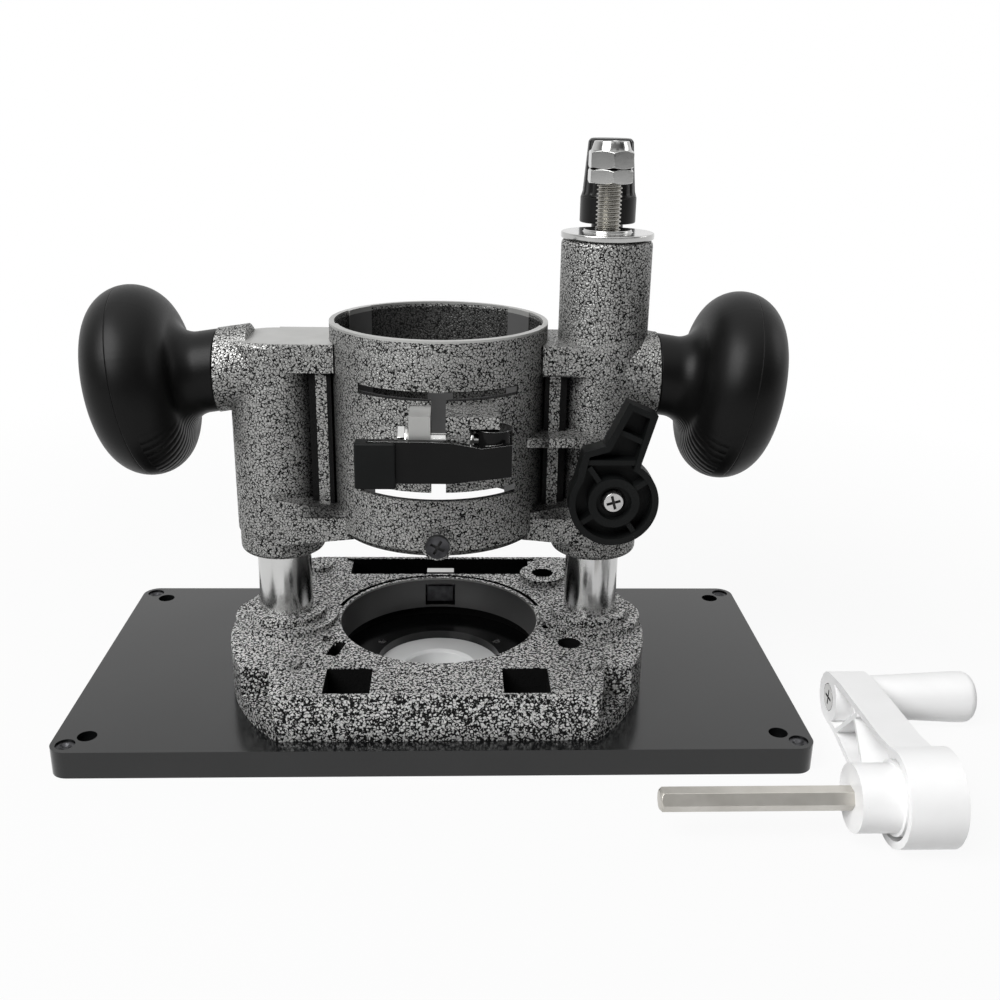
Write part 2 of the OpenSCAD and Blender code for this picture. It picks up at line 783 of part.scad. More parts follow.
module depth_lugs() {
    for (i = [0, 1]) {
        z = depth_lug_z[i];
        translate([depth_x, depth_y, 0]) tube_z(depth_lug_r, z, z + depth_lug_h[i]);
        block([depth_x - depth_lug_half_w, right_col_r - root, z],
            [depth_x + depth_lug_half_w, depth_y, z + depth_lug_h[i]]);
    }
}

module clamp_lugs() {
    block([left_lug_x, lug_y, lug_z[0]], [slit_x[0], -motor_r, lug_z[1]]);
    block([slit_x[1], lug_y, lug_z[0]], [right_lug_x, -motor_r, lug_z[1]]);
    block([slit_x[1], lug_y, finger_z], [finger_x, -motor_r + root, lug_z[1]]);
}

// Slots that free the two clamping jaws of the collar
module clamp_slots() {
    rear_y = -motor_r + jaw_depth;
    for (z = [slot_top_z, slot_low_z])
        block([-slot_half_w, -collar_r - cut, z[0]], [slot_half_w, rear_y, z[1]]);
    block([slit_x[0], lug_y - cut, slot_low_z[0]], [slit_x[1], rear_y, slot_top_z[1]]);
}

module carriage_bores() {
    tube_z(motor_r, car_z - cut, collar_top + cut);
    for (a = relief_sectors)
        sector(motor_r - 1, relief_r, car_z, collar_top + cut, a[0], a[1]);
    translate([-post_x, 0, 0]) tube_z(col_bore_r, car_z - cut, left_roof);
    translate([post_x, 0, 0]) {
        tube_z(col_bore_r, car_z - cut, right_bore_top);
        tube_z(nut_sleeve_r + fit, right_bore_top - cut, right_top + cut);
    }
    for (i = [0, 1])
        translate([depth_x, depth_y, 0])
            tube_z(depth_rod_r + 2 * fit, depth_lug_z[i] - cut, depth_lug_z[i] + depth_lug_h[i] + cut);
    along_minus_y(depth_x, depth_y + depth_lug_r + cut, thumb_z)
        cylinder(r = thumb_r + fit, h = depth_lug_r + cut);
    along_minus_y(lock_x, -post_r + 1, lock_z) cylinder(r = lock_bolt_r + fit, h = -lock_boss_y);
    along_minus_y(0, -motor_r + root, collar_screw_z)
        cylinder(r = collar_screw_r + fit, h = 2 * root + collar_wall);
    along_x(left_lug_x - cut, bolt_y, bolt_z)
        cylinder(r = bolt_r + fit, h = right_lug_x - left_lug_x + 2 * cut);
    for (side = [-1, 1])
        handle_place(side) tube_z(stud_r + fit, stud_in - seat, handle_face + stub_reach);
}

module carriage_casting() {
    color(casting_grey) difference() {
        union() {
            columns();
            arms();
            for (side = [-1, 1]) {
                foot_web(side);
                intersection() {
                    handle_place(side) tube_z(handle_stem_r + seat, stub_in, handle_face + stub_reach);
                    inside_face(side, handle_face);
                }
            }
            tube_z(collar_r, collar_z, collar_top);
            tube_z(skirt_r, skirt_low, collar_z + 1);
            along_minus_y(0, -motor_r - 0.5, collar_screw_z)
                cylinder(r = collar_boss_r, h = -motor_r - 0.5 - collar_boss_y);
            along_minus_y(lock_x, -right_col_r + root, lock_z)
                cylinder(r = lock_boss_r, h = -lock_boss_y - right_col_r + root);
            depth_lugs();
            clamp_lugs();
        }
        clamp_slots();
        carriage_bores();
    }
}

module bushings(x, upper_z) {
    color(bronze) translate([x, 0, 0]) for (z = [lower_bush, upper_z])
        difference() {
            tube_z(bushing_r, z, z + bushing_l);
            tube_z(post_r + fit, z - cut, z + bushing_l + cut);
        }
}

module collar_screw() {
    color(black) along_minus_y(0, collar_boss_y, collar_screw_z) difference() {
        union() {
            tube_z(collar_screw_r, motor_r + collar_boss_y + 2 * slack, cut);
            tube_z(collar_screw_head_r, 0, collar_screw_head_t);
        }
        cross_recess(collar_cross_l, collar_screw_head_t);
    }
}

// ---- Handles ----

module handle_studs() {
    color(steel) for (side = [-1, 1])
        handle_place(side) tube_z(stud_r, stud_in, stud_out);
}

// Block from a column's axis out to an upright face, on one side
module inside_face(side, face) {
    near_x = side * (post_x - left_col_r);
    far_x = side * (post_x + face);
    block([min(near_x, far_x), -2 * handle_stem_r, handle_z - 2 * handle_stem_r],
        [max(near_x, far_x), 2 * handle_stem_r, handle_z + 2 * handle_stem_r]);
}

// Mushroom handle: stem cut upright, filleted neck, round rim and a shallow outer dome
module handle(side) {
    color(black) difference() {
        handle_place(side) difference() {
            rotate_extrude() {
                translate([0, handle_face - stub_reach])
                    square([handle_stem_r, handle_neck - handle_face + stub_reach + cut]);
                difference() {
                    translate([0, handle_neck]) square([neck_touch_r, handle_neck_r + 2]);
                    translate([neck_out, handle_neck]) circle(handle_neck_r);
                }
                translate([handle_hub_r, rim_z]) circle(handle_rim_r);
                translate([0, rim_z - handle_rim_r]) square([handle_hub_r, 2 * handle_rim_r]);
                intersection() {
                    translate([0, handle_end - handle_dome_r]) circle(handle_dome_r);
                    translate([0, rim_z]) square([handle_hub_r, handle_rim_r + root]);
                }
            }
            tube_z(stud_r + fit, handle_face - stub_reach - cut, stud_out + seat);
        }
        inside_face(side, handle_face + seat);
    }
}

// ---- Plunge lock ----

// Round hub with the finger plate above it, between two depths
module lever_body(hub_r, outline, z0, z1) {
    tube_z(hub_r, z0, z1);
    translate([0, 0, z0]) linear_extrude(z1 - z0) polygon(outline);
}

module lever_ribs(depth) {
    half_t = lever_rib_t / 2;
    cylinder(r = lever_ring_r, h = depth);
    for (a = lever_spokes)
        rotate([0, 0, a]) block([0, -half_t, 0], [lock_hub_r, half_t, depth - lever_rib_sink]);
    for (rib = lever_cross_ribs)
        rotate([0, 0, rib[1]])
            block([-lock_hub_r, rib[0] - half_t, 0], [lock_hub_r, rib[0] + half_t, depth - lever_rib_sink]);
}

module lock_lever() {
    depth = lever_back_y - lever_front_y;
    color(black) along_minus_y(lock_x, lever_back_y, lock_z) difference() {
        lever_body(lock_hub_r, lever_outline, 0, depth);
        difference() {
            lever_body(lock_hub_r - lever_wall, lever_recess, lever_floor, depth + cut);
            lever_ribs(depth);
        }
        tube_z(lever_screw_head_r + lever_recess_wide, depth - lever_head_sink, depth + cut);
        tube_z(lever_screw_r + fit, -cut, depth);
        translate([0, 0, -cut]) cylinder(r = lever_hex_r / cos(30), h = lever_hex_t + cut, $fn = 6);
    }
}

module lock_lever_screw() {
    head_z = lever_back_y - lever_front_y - lever_head_sink;
    color(chrome) along_minus_y(lock_x, lever_back_y, lock_z) difference() {
        union() {
            tube_z(lever_screw_r, -lever_screw_l, head_z + cut);
            translate([0, 0, head_z])
                cylinder(r1 = lever_screw_head_r, r2 = lever_screw_head_r - 1, h = lever_screw_head_t);
        }
        cross_recess(lever_cross_l, head_z + lever_screw_head_t);
    }
}

// Lock bolt with a hexagon that drives it from the lever
module lock_bolt() {
    color(steel) difference() {
        union() {
            along_minus_y(lock_x, lock_bolt_in_y, lock_z)
                cylinder(r = lock_bolt_r, h = lock_bolt_in_y - lock_boss_y);
            along_minus_y(lock_x, lock_boss_y + cut, lock_z)
                cylinder(r = (lever_hex_r - fit) / cos(30), h = cut + gap + lever_hex_t - slack, $fn = 6);
        }
        along_minus_y(lock_x, lever_back_y + 2 * lever_screw_l, lock_z)
            cylinder(r = lever_screw_r + fit, h = 2 * lever_screw_l + root);
    }
}

module lock_pad() {
    color(bronze) along_minus_y(lock_x, lock_pad_y, lock_z)
        cylinder(r = lock_bolt_r - gap, h = lock_pad_y - lock_bolt_in_y - slack);
}

// ---- Motor clamp ----

module clamp_bolt() {
    head_x = left_lug_x - bolt_washer_t;
    color(steel) difference() {
        union() {
            along_x(head_x, bolt_y, bolt_z) cylinder(r = bolt_r, h = cam_x - head_x);
            along_x(head_x - bolt_head_t, bolt_y, bolt_z)
                cylinder(r = bolt_head_af / 2 / cos(30), h = bolt_head_t, $fn = 6);
            translate([cam_x, bolt_y, 0]) tube_z(eye_r, bolt_z - eye_r, bolt_z + eye_r);
        }
        translate([cam_x, bolt_y, 0]) tube_z(cam_pin_r + fit, bolt_z - 2 * eye_r, bolt_z + 2 * eye_r);
    }
}

module clamp_washers() {
    cam_face = cam_x - cam_offset - cam_r - gap;
    color(chrome) for (x = [[left_lug_x - bolt_washer_t, left_lug_x], [right_lug_x, cam_face]])
        difference() {
            along_x(x[0], bolt_y, bolt_z) cylinder(r = bolt_washer_r, h = x[1] - x[0]);
            along_x(x[0] - cut, bolt_y, bolt_z) cylinder(r = bolt_r + fit, h = x[1] - x[0] + 2 * cut);
        }
}

// Lever strip outline in the XZ plane, with its waved upper edge
module strip_outline() {
    polygon([[strip_x[1], strip_z[0] + strip_heel], [strip_x[1], strip_z[1] - 0.8],
        [cam_x - root, strip_z[1] - 2], [strip_dip[0], strip_z[1] - 0.4], [strip_dip[1], strip_z[1] - 0.1],
        [strip_x[0], strip_z[1]], [strip_x[0], strip_z[0]], [strip_dip[0], strip_z[0]]]);
}

module cam_lever() {
    slot_z = [bolt_z - eye_r - gap, bolt_z + eye_r + gap];
    color(black) difference() {
        union() {
            translate([cam_x - cam_offset, bolt_y, 0]) tube_z(cam_r, cam_z[0], cam_z[1]);
            along_minus_y(0, strip_y + strip_t, 0) linear_extrude(strip_t) strip_outline();
        }
        translate([cam_x, bolt_y, 0]) {
            tube_z(cam_pin_r + fit, cam_z[0] - cut, cam_z[1] + cut);
            block([-2 * cam_r, -eye_r - gap, slot_z[0]], [eye_r + 1, 2 * cam_r, slot_z[1]]);
        }
    }
}

module cam_pin() {
    color(steel) translate([cam_x, bolt_y, 0]) tube_z(cam_pin_r, cam_z[0] + slack, cam_z[1] - slack);
}

module lever_tip() {
    mid_y = strip_y + strip_t / 2;
    color(black) difference() {
        block([tip_x[0], mid_y - tip_half_t, tip_z[0]], [tip_x[1], mid_y + tip_half_t, tip_z[1]]);
        block([strip_x[0] - 2 * fit, strip_y - 2 * fit, strip_z[0] - 2 * fit],
            [tip_x[1] + cut, strip_y + strip_t + 2 * fit, strip_z[1] + 2 * fit]);
    }
}

// ---- Depth stop ----

module depth_rod() {
    color(steel) translate([depth_x, depth_y, 0])
        tube_z(depth_rod_r, depth_rod_z, depth_knob_z + depth_knob_bore);
}

module depth_knob() {
    color(black) translate([depth_x, depth_y, depth_knob_z]) difference() {
        rotate_extrude() polygon(depth_knob_profile);
        tube_z(depth_rod_r + fit, -cut, depth_knob_bore + seat);
    }
}

module thumb_screw() {
    y0 = depth_y + depth_rod_r + slack;
    y1 = depth_y + depth_lug_r + gap;
    color(black) {
        along_minus_y(depth_x, y1 + cut, thumb_z) cylinder(r = thumb_r, h = y1 + cut - y0);
        along_minus_y(depth_x, y1 + thumb_head_t, thumb_z) cylinder(r = thumb_head_r, h = thumb_head_t);
    }
}

// ---- Crank ----

// Tangent bar around two circles in the YZ plane, as exact arcs and one polygon
module bar_outline(ra, rb) {
    a = [crank_y, crank_hub_r];
    b = [crank_end_y, crank_end_r];
    lean = atan2(b[1] - a[1], b[0] - a[0]);
    open = acos((ra - rb) / norm(b - a));
    translate(a) circle(ra);
    translate(b) circle(rb);
    polygon([for (p = [[a, ra, -1], [b, rb, -1], [b, rb, 1], [a, ra, 1]])
        p[0] + p[1] * [cos(lean + p[2] * open), sin(lean + p[2] * open)]]);
}

// Wedges that slant the arm from the hub's inner end to the grip's
module crank_slant() {
    hub_edge = crank_y + crank_hub_r;
    end_edge = crank_end_y - crank_end_r;
    far_y = crank_end_y + crank_end_r + 1;
    near_y = crank_y - crank_hub_r;
    back_x = crank_x + crank_arm_t;
    linear_extrude(2 * crank_hub_r) {
        polygon([[crank_x - 1, hub_edge], [crank_x, hub_edge], [crank_end_x, end_edge],
            [crank_end_x, far_y], [crank_x - 1, far_y]]);
        polygon([[crank_x + crank_slab_t, near_y], [crank_x + crank_slab_t, hub_edge],
            [back_x, end_edge], [back_x + 1, end_edge], [back_x + 1, near_y]]);
    }
}

module crank_ribs() {
    lean = atan2(-crank_drop, crank_end_y - crank_y);
    translate([crank_y, crank_hub_r]) circle(crank_stub_r + 1);
    translate([crank_end_y, crank_end_r]) circle(crank_end_r - 0.5);
    translate([crank_y, crank_hub_r]) rotate(lean)
        for (p = crank_ribs_at)
            translate([p[0], 0]) rotate(p[1]) square([crank_rib_l, crank_rib_t], center = true);
}

module crank_arm() {
    socket_l = crank_stub_l + crank_socket_l + cut;
    color(white) difference() {
        union() {
            difference() {
                translate([crank_x, 0, 0]) rotate([90, 0, 90])
                    linear_extrude(crank_arm_t) bar_outline(crank_hub_r - 0.5, crank_end_r);
                crank_slant();
            }
            along_x(crank_x, crank_y, crank_hub_r) cylinder(r = crank_hub_r, h = crank_arm_t);
            along_x(crank_x - crank_stub_l, crank_y, crank_hub_r)
                cylinder(r = crank_stub_r, h = crank_stub_l + cut);
        }
        translate([crank_x - cut, 0, 0]) rotate([90, 0, 90])
            linear_extrude(crank_slab_t - crank_skin) difference() {
                bar_outline(crank_hub_r - crank_wall, crank_end_r - crank_wall);
                crank_ribs();
            }
        along_x(crank_x - crank_stub_l - cut, crank_y, crank_hub_r)
            rotate([0, 0, 30])
                cylinder(r = (crank_af / 2 + fit) / cos(30), h = socket_l, $fn = 6);
        along_x(crank_x - cut, crank_end_y, crank_end_r)
            cylinder(r = grip_screw_r + fit, h = crank_arm_t + 2 * cut);
        along_x(crank_x - cut, crank_end_y, crank_end_r)
            cylinder(r = grip_screw_head_r + slack, h = crank_end_x - crank_x + grip_screw_sink + cut);
    }
}

// Hexagonal shaft with a turned tip
module crank_shaft() {
    tip_x = crank_x - crank_stub_l - crank_shaft_l;
    len = crank_shaft_l + crank_stub_l + crank_socket_l - seat;
    color(steel) intersection() {
        along_x(tip_x, crank_y, crank_hub_r)
            rotate([0, 0, 30]) cylinder(r = crank_af / 2 / cos(30), h = len, $fn = 6);
        along_x(tip_x, crank_y, crank_hub_r)
            cylinder(r1 = crank_tip_r, r2 = crank_tip_r + len, h = len);
    }
}

module crank_grip() {
    low = crank_x + crank_arm_t + gap;
    color(white) along_x(low, crank_end_y, crank_end_r) difference() {
        rotate_extrude() {
            polygon([[0, 0], [grip_start_r, 0], [crank_end_r, grip_taper_l],
                [crank_end_r, grip_l - grip_round], [0, grip_l - grip_round]]);
            translate([crank_end_r - grip_round, grip_l - grip_round]) circle(grip_round);
            square([crank_end_r - grip_round, grip_l]);
        }
        tube_z(grip_screw_r + 2 * fit, -cut, grip_l - grip_end_wall);
    }
}

module crank_screw() {
    screw_l = crank_arm_t - (crank_end_x - crank_x) + grip_l - grip_end_wall - 1;
    color(steel) along_x(crank_end_x, crank_end_y, crank_end_r) {
        difference() {
            tube_z(grip_screw_head_r, 0, grip_screw_head_t);
            mirror([0, 0, 1]) cross_recess(grip_cross_l, 0);
        }
        tube_z(grip_screw_r, grip_screw_head_t - cut, screw_l);
    }
}

insert_plate();
insert_ring();
ring_screws();
level_screw(-1, -1);  // level_screw_1
level_screw(1, -1);  // level_screw_2
level_screw(1, 1);  // level_screw_3
level_screw(-1, 1);  // level_screw_4
base_casting();
base_screws();
guide_latch();
latch_tab();
post(-post_x, left_post_l);  // left_post
post(post_x, right_post_l);  // right_post
return_spring();
thrust_washer();
drive_coupler();
coupler_pin();
lead_screw();
stop_nut();
lock_nut();
lift_nut();
carriage_casting();
bushings(-post_x, left_upper_bush);  // left_bushings
bushings(post_x, right_upper_bush);  // right_bushings
collar_screw();
handle_studs();
handle(-1);  // left_handle
handle(1);  // right_handle
lock_lever();
lock_lever_screw();
lock_bolt();
lock_pad();
clamp_bolt();
clamp_washers();
cam_lever();
cam_pin();
lever_tip();
depth_rod();
depth_knob();
thumb_screw();
crank_arm();
crank_shaft();
crank_grip();
crank_screw();
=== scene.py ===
import math

import bpy
from mathutils import Matrix, Vector


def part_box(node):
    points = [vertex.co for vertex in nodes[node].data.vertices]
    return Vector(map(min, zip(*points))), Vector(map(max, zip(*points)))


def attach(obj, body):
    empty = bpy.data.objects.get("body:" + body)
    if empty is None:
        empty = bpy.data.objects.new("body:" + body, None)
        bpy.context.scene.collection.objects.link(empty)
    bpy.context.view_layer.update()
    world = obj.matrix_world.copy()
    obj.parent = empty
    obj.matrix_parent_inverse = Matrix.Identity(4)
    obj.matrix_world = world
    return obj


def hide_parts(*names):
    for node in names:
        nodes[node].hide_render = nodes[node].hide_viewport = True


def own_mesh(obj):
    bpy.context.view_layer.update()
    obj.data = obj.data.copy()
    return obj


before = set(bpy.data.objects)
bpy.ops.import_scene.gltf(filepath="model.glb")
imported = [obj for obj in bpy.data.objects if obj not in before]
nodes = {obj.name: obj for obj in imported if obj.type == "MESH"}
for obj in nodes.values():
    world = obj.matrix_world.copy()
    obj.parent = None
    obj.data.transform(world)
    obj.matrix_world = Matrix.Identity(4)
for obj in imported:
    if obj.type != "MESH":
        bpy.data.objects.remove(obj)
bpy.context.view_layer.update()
mm = 0.001

# ---- Camera ----
# The object is seen from in front and a little above, from about 35 cm before the plate's centre.
# The lens and the place come from the corners and holes of the plate in the photograph.
camera_place = (0.004564, -0.35434, 0.195659)
camera_pitch, camera_yaw, camera_roll = 0.344, 0.045, 0.019
camera_data = bpy.data.cameras.new("camera")
camera = bpy.data.objects.new("camera", camera_data)
bpy.context.scene.collection.objects.link(camera)
bpy.context.scene.camera = camera
camera_data.sensor_width = 36
camera_data.lens = 40.208
camera_data.clip_start = 10 * mm
camera_ahead = Vector((math.sin(camera_yaw) * math.cos(camera_pitch),
                       math.cos(camera_yaw) * math.cos(camera_pitch), -math.sin(camera_pitch)))
camera_right = Vector((math.cos(camera_yaw), -math.sin(camera_yaw), 0))
camera_up = camera_right.cross(camera_ahead)
turned_right = math.cos(camera_roll) * camera_right + math.sin(camera_roll) * camera_up
turned_up = -math.sin(camera_roll) * camera_right + math.cos(camera_roll) * camera_up
camera_axes = Matrix((turned_right, turned_up, -camera_ahead)).transposed().to_4x4()
camera.matrix_world = Matrix.Translation(camera_place) @ camera_axes


# ---- Floor and light ----
# A white table top that keeps a faint shadow, under a large lamp above and to the left.
# The room behind the object is bright and the room before it is dim, as in a photo tent.
def feed(tree, socket, given):
    """Links a socket to the given one, or sets it to the given value."""
    if isinstance(given, bpy.types.NodeSocket):
        tree.links.new(given, socket)
    else:
        socket.default_value = given


def add_node(tree, kind, **values):
    """A new node. Each value goes to the input of that name, or else to the setting."""
    node = tree.nodes.new(kind)
    for key, value in values.items():
        if key in node.inputs:
            feed(tree, node.inputs[key], value)
        else:
            setattr(node, key, value)
    return node


def math_node(tree, operation, first, second=0.0):
    node = add_node(tree, "ShaderNodeMath", operation=operation)
    feed(tree, node.inputs[0], first)
    feed(tree, node.inputs[1], second)
    return node.outputs[0]


def vector_node(tree, operation, first, second=(0, 0, 0)):
    """The result of a vector operation, a number for a length or a distance."""
    node = add_node(tree, "ShaderNodeVectorMath", operation=operation)
    feed(tree, node.inputs[0], first)
    feed(tree, node.inputs["Scale" if operation == "SCALE" else 1], second)
    return node.outputs["Value" if operation in ("LENGTH", "DISTANCE") else "Vector"]


def ranged(tree, value, start, end, low, high, fade="LINEAR"):
    """The value mapped from start..end to low..high, and held at those ends."""
    node = add_node(tree, "ShaderNodeMapRange", interpolation_type=fade)
    for name, given in (("Value", value), ("From Min", start), ("From Max", end),
                        ("To Min", low), ("To Max", high)):
        feed(tree, node.inputs[name], given)
    return node.outputs[0]


def mix_shaders(tree, share, first, second):
    """The second shader takes the share, and the first the rest."""
    mix = add_node(tree, "ShaderNodeMixShader", Fac=share)
    tree.links.new(first.outputs[0], mix.inputs[1])
    tree.links.new(second.outputs[0], mix.inputs[2])
    return mix.outputs[0]


def new_finish(name):
    finish = bpy.data.materials.new(name)
    finish.use_nodes = True
    return finish, finish.node_tree, finish.node_tree.nodes["Principled BSDF"]


floor_width = 6
floor_grey = (0.55, 0.55, 0.55, 1)
near_white, far_white = 0.93, 1.0
near_end, far_start = 0.2, 0.45
bpy.ops.object.select_all(action="DESELECT")
bpy.ops.mesh.primitive_plane_add(size=floor_width, location=(0, 0, 0))
floor = bpy.context.object
floor.name = "floor"
bpy.ops.object.transform_apply(location=True)
floor_paint, floor_tree, floor_shader = new_finish("white_table")
floor_shader.inputs["Base Color"].default_value = floor_grey
floor_shader.inputs["Roughness"].default_value = 0.8
floor_light = add_node(floor_tree, "ShaderNodeEmission", Strength=1)
floor_rays = floor_tree.nodes.new("ShaderNodeLightPath").outputs
floor_seen = math_node(floor_tree, "MAXIMUM", floor_rays["Is Camera Ray"], floor_rays["Is Glossy Ray"])
floor_shown = math_node(floor_tree, "MAXIMUM", floor_seen, floor_rays["Is Transmission Ray"])
floor_place = floor_tree.nodes.new("ShaderNodeTexCoord").outputs["Object"]
floor_away = vector_node(floor_tree, "LENGTH", floor_place)
floor_white = ranged(floor_tree, floor_away, near_end, far_start, near_white, far_white)
floor_share = math_node(floor_tree, "MULTIPLY", floor_shown, floor_white)
floor_tree.links.new(mix_shaders(floor_tree, floor_share, floor_shader, floor_light),
                     floor_tree.nodes["Material Output"].inputs["Surface"])
floor.data.materials.append(floor_paint)

world = bpy.data.worlds.new("room")
bpy.context.scene.world = world
world.use_nodes = True
room = world.node_tree
room_light = room.nodes["Background"]
room_white = add_node(room, "ShaderNodeBackground", Color=(1, 1, 1, 1), Strength=1)
room_way = room.nodes.new("ShaderNodeTexCoord").outputs["Generated"]
room_split = room.nodes.new("ShaderNodeSeparateXYZ")
room.links.new(room_way, room_split.inputs[0])
front_dim, back_bright, top_bright = 0.05, 1.0, 1.5
dim_until, bright_from = -0.35, 0.5
top_from, top_full = 0.45, 0.95
room_depth = ranged(room, room_split.outputs["Y"], dim_until, bright_from, front_dim, back_bright)
room_height = ranged(room, room_split.outputs["Z"], top_from, top_full, 0.0, top_bright)
room.links.new(math_node(room, "MAXIMUM", room_depth, room_height), room_light.inputs["Color"])
room_rays = room.nodes.new("ShaderNodeLightPath").outputs
room_mirrored = math_node(room, "MAXIMUM", room_rays["Is Glossy Ray"], room_rays["Is Transmission Ray"])
diffuse_level, mirrored_level = 0.18, 1.0
room.links.new(ranged(room, room_mirrored, 0.0, 1.0, diffuse_level, mirrored_level),
               room_light.inputs["Strength"])
room.links.new(mix_shaders(room, room_rays["Is Camera Ray"], room_light, room_white),
               room.nodes["World Output"].inputs["Surface"])


def add_lamp(name, place, aim, width, power):
    lamp_data = bpy.data.lights.new(name, "AREA")
    lamp_data.size = width
    lamp_data.energy = power
    lamp = bpy.data.objects.new(name, lamp_data)
    bpy.context.scene.collection.objects.link(lamp)
    lamp.location = place
    lamp.rotation_euler = (Vector(aim) - Vector(place)).to_track_quat("-Z", "Y").to_euler()


add_lamp("lamp_left", place=(-0.55, -0.6, 0.9), aim=(0, 0, 0.06), width=0.8, power=19)
add_lamp("lamp_right", place=(0.9, 0.1, 0.5), aim=(0.1, 0, 0.05), width=0.4, power=1.2)
bpy.context.scene.view_settings.view_transform = "Standard"


# ---- Insert plate ----
# The plate is aluminium, milled, edge-broken and anodised black after a fine blast.
# It carries everything else and drops into the cut-out of a router table.
def new_group(name, inputs, outputs):
    """A node group with its sockets. A socket named Vector is a vector, and the others are numbers."""
    group = bpy.data.node_groups.new(name, "ShaderNodeTree")
    for way, names in (("INPUT", inputs), ("OUTPUT", outputs)):
        for socket in names:
            kind = "NodeSocketVector" if socket == "Vector" else "NodeSocketFloat"
            group.interface.new_socket(socket, in_out=way, socket_type=kind)
    return group, group.nodes.new("NodeGroupInput").outputs, group.nodes.new("NodeGroupOutput").inputs


def place_group(tree, group, vector, values):
    """A copy of a group in a material, fed with a place and its own values."""
    node = add_node(tree, "ShaderNodeGroup", node_tree=group)
    feed(tree, node.inputs["Vector"], vector)
    for name, value in values.items():
        feed(tree, node.inputs[name], value)
    return node.outputs


def ramped(tree, factor, dark, light, start=0.0, end=1.0):
    """A colour that goes from dark at start to light at end."""
    ramp = add_node(tree, "ShaderNodeValToRGB", Fac=factor)
    low_end, high_end = ramp.color_ramp.elements
    low_end.position = start
    high_end.position = end
    low_end.color = (*dark, 1)
    high_end.color = (*light, 1)
    return ramp.outputs["Color"]


def bumped(tree, height, distance, strength=1.0):
    """The normal of a surface raised by distance where the height is 1."""
    relief = add_node(tree, "ShaderNodeBump", Height=height, Distance=distance, Strength=strength)
    return relief.outputs["Normal"]


def clad(piece, finish):
    piece.data.materials.clear()
    piece.data.materials.append(finish)
    for face in piece.data.polygons:
        face.material_index = 0


# Group that varies a surface: a slow mottle and a fine grain
mottle, mottle_in, mottle_out = new_group("mottle", ("Vector", "Slow Scale", "Grain Scale"),
                                          ("Slow", "Grain"))
mottle_slow = add_node(mottle, "ShaderNodeTexNoise", Vector=mottle_in["Vector"],
                       Scale=mottle_in["Slow Scale"], Detail=3.0, Roughness=0.6)
mottle_grain = add_node(mottle, "ShaderNodeTexNoise", Vector=mottle_in["Vector"],
                        Scale=mottle_in["Grain Scale"], Detail=2.0, Roughness=0.7)
mottle.links.new(mottle_slow.outputs["Fac"], mottle_out["Slow"])
mottle.links.new(mottle_grain.outputs["Fac"], mottle_out["Grain"])


slow_dark, slow_light = 0.3, 0.7


def place_mottle(tree, slow, grain):
    place = tree.nodes.new("ShaderNodeTexCoord").outputs["Object"]
    return place_group(tree, mottle, place, {"Slow Scale": slow, "Grain Scale": grain})


def varied_finish(name, dark, light, rough, scales, bump, metal=0.0, ior=1.5):
    """A finish whose colour follows the slow mottle and whose gloss and height follow the grain."""
    finish, tree, shader = new_finish(name)
    surface = place_mottle(tree, *scales)
    colour = ramped(tree, surface["Slow"], dark, light, slow_dark, slow_light)
    for socket, given in (("Base Color", colour),
                          ("Roughness", ranged(tree, surface["Grain"], 0.0, 1.0, *rough)),
                          ("Normal", bumped(tree, surface["Grain"], bump)),
                          ("Metallic", metal), ("IOR", ior)):
        feed(tree, shader.inputs[socket], given)
    return finish


merge_gap = 0.002 * mm
flat_angle = math.radians(0.4)


def rounded_copy(node, name, width, finish, steps=2, edge_wear_and_highlight=None, sharp=math.radians(32)):
    """A copy of a CAD piece with its doubles merged and its edges broken. edge_wear_and_highlight clads
    those edges in a lighter finish, which paints their highlight and, on the castings, their wear.
    """
    bpy.ops.object.select_all(action="DESELECT")
    piece = bpy.data.objects.new(name, nodes[node].data.copy())
    bpy.context.scene.collection.objects.link(piece)
    piece.select_set(True)
    bpy.context.view_layer.objects.active = piece
    bpy.ops.mesh.customdata_custom_splitnormals_clear()
    bpy.ops.object.mode_set(mode="EDIT")
    bpy.ops.mesh.select_all(action="SELECT")
    bpy.ops.mesh.remove_doubles(threshold=merge_gap)
    bpy.ops.mesh.dissolve_limited(angle_limit=flat_angle)
    bpy.ops.object.mode_set(mode="OBJECT")
    clad(piece, finish)
    if edge_wear_and_highlight:
        piece.data.materials.append(edge_wear_and_highlight)
    if width:
        edge_break = piece.modifiers.new("edge_break", "BEVEL")
        edge_break.width = width
        edge_break.segments = steps
        edge_break.limit_method = "ANGLE"
        edge_break.angle_limit = sharp
        edge_break.use_clamp_overlap = True
        edge_break.material = 1 if edge_wear_and_highlight else -1
        bpy.ops.object.modifier_apply(modifier="edge_break")
    bpy.ops.object.shade_smooth_by_angle(angle=sharp)
    if width:
        flats = piece.modifiers.new("flats", "WEIGHTED_NORMAL")
        flats.keep_sharp = True
        flats.weight = 100
        bpy.ops.object.modifier_apply(modifier="flats")
    return piece


def stand_in(node, width, finish, body, steps=2, edge_wear_and_highlight=None):
    """A rounded copy that rides on the body and takes the CAD piece's place."""
    piece = rounded_copy(node, node + "_edges", width, finish, steps, edge_wear_and_highlight)
    clad(nodes[node], finish)
    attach(piece, body)
    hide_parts(node)
    return piece


anodised = varied_finish("black_anodised", (0.003, 0.0033, 0.0035), (0.006, 0.0063, 0.0065),
                         rough=(0.12, 0.22), scales=(30, 2200), bump=0.012 * mm)
stand_in("insert_plate", 0.5 * mm, anodised, "base")

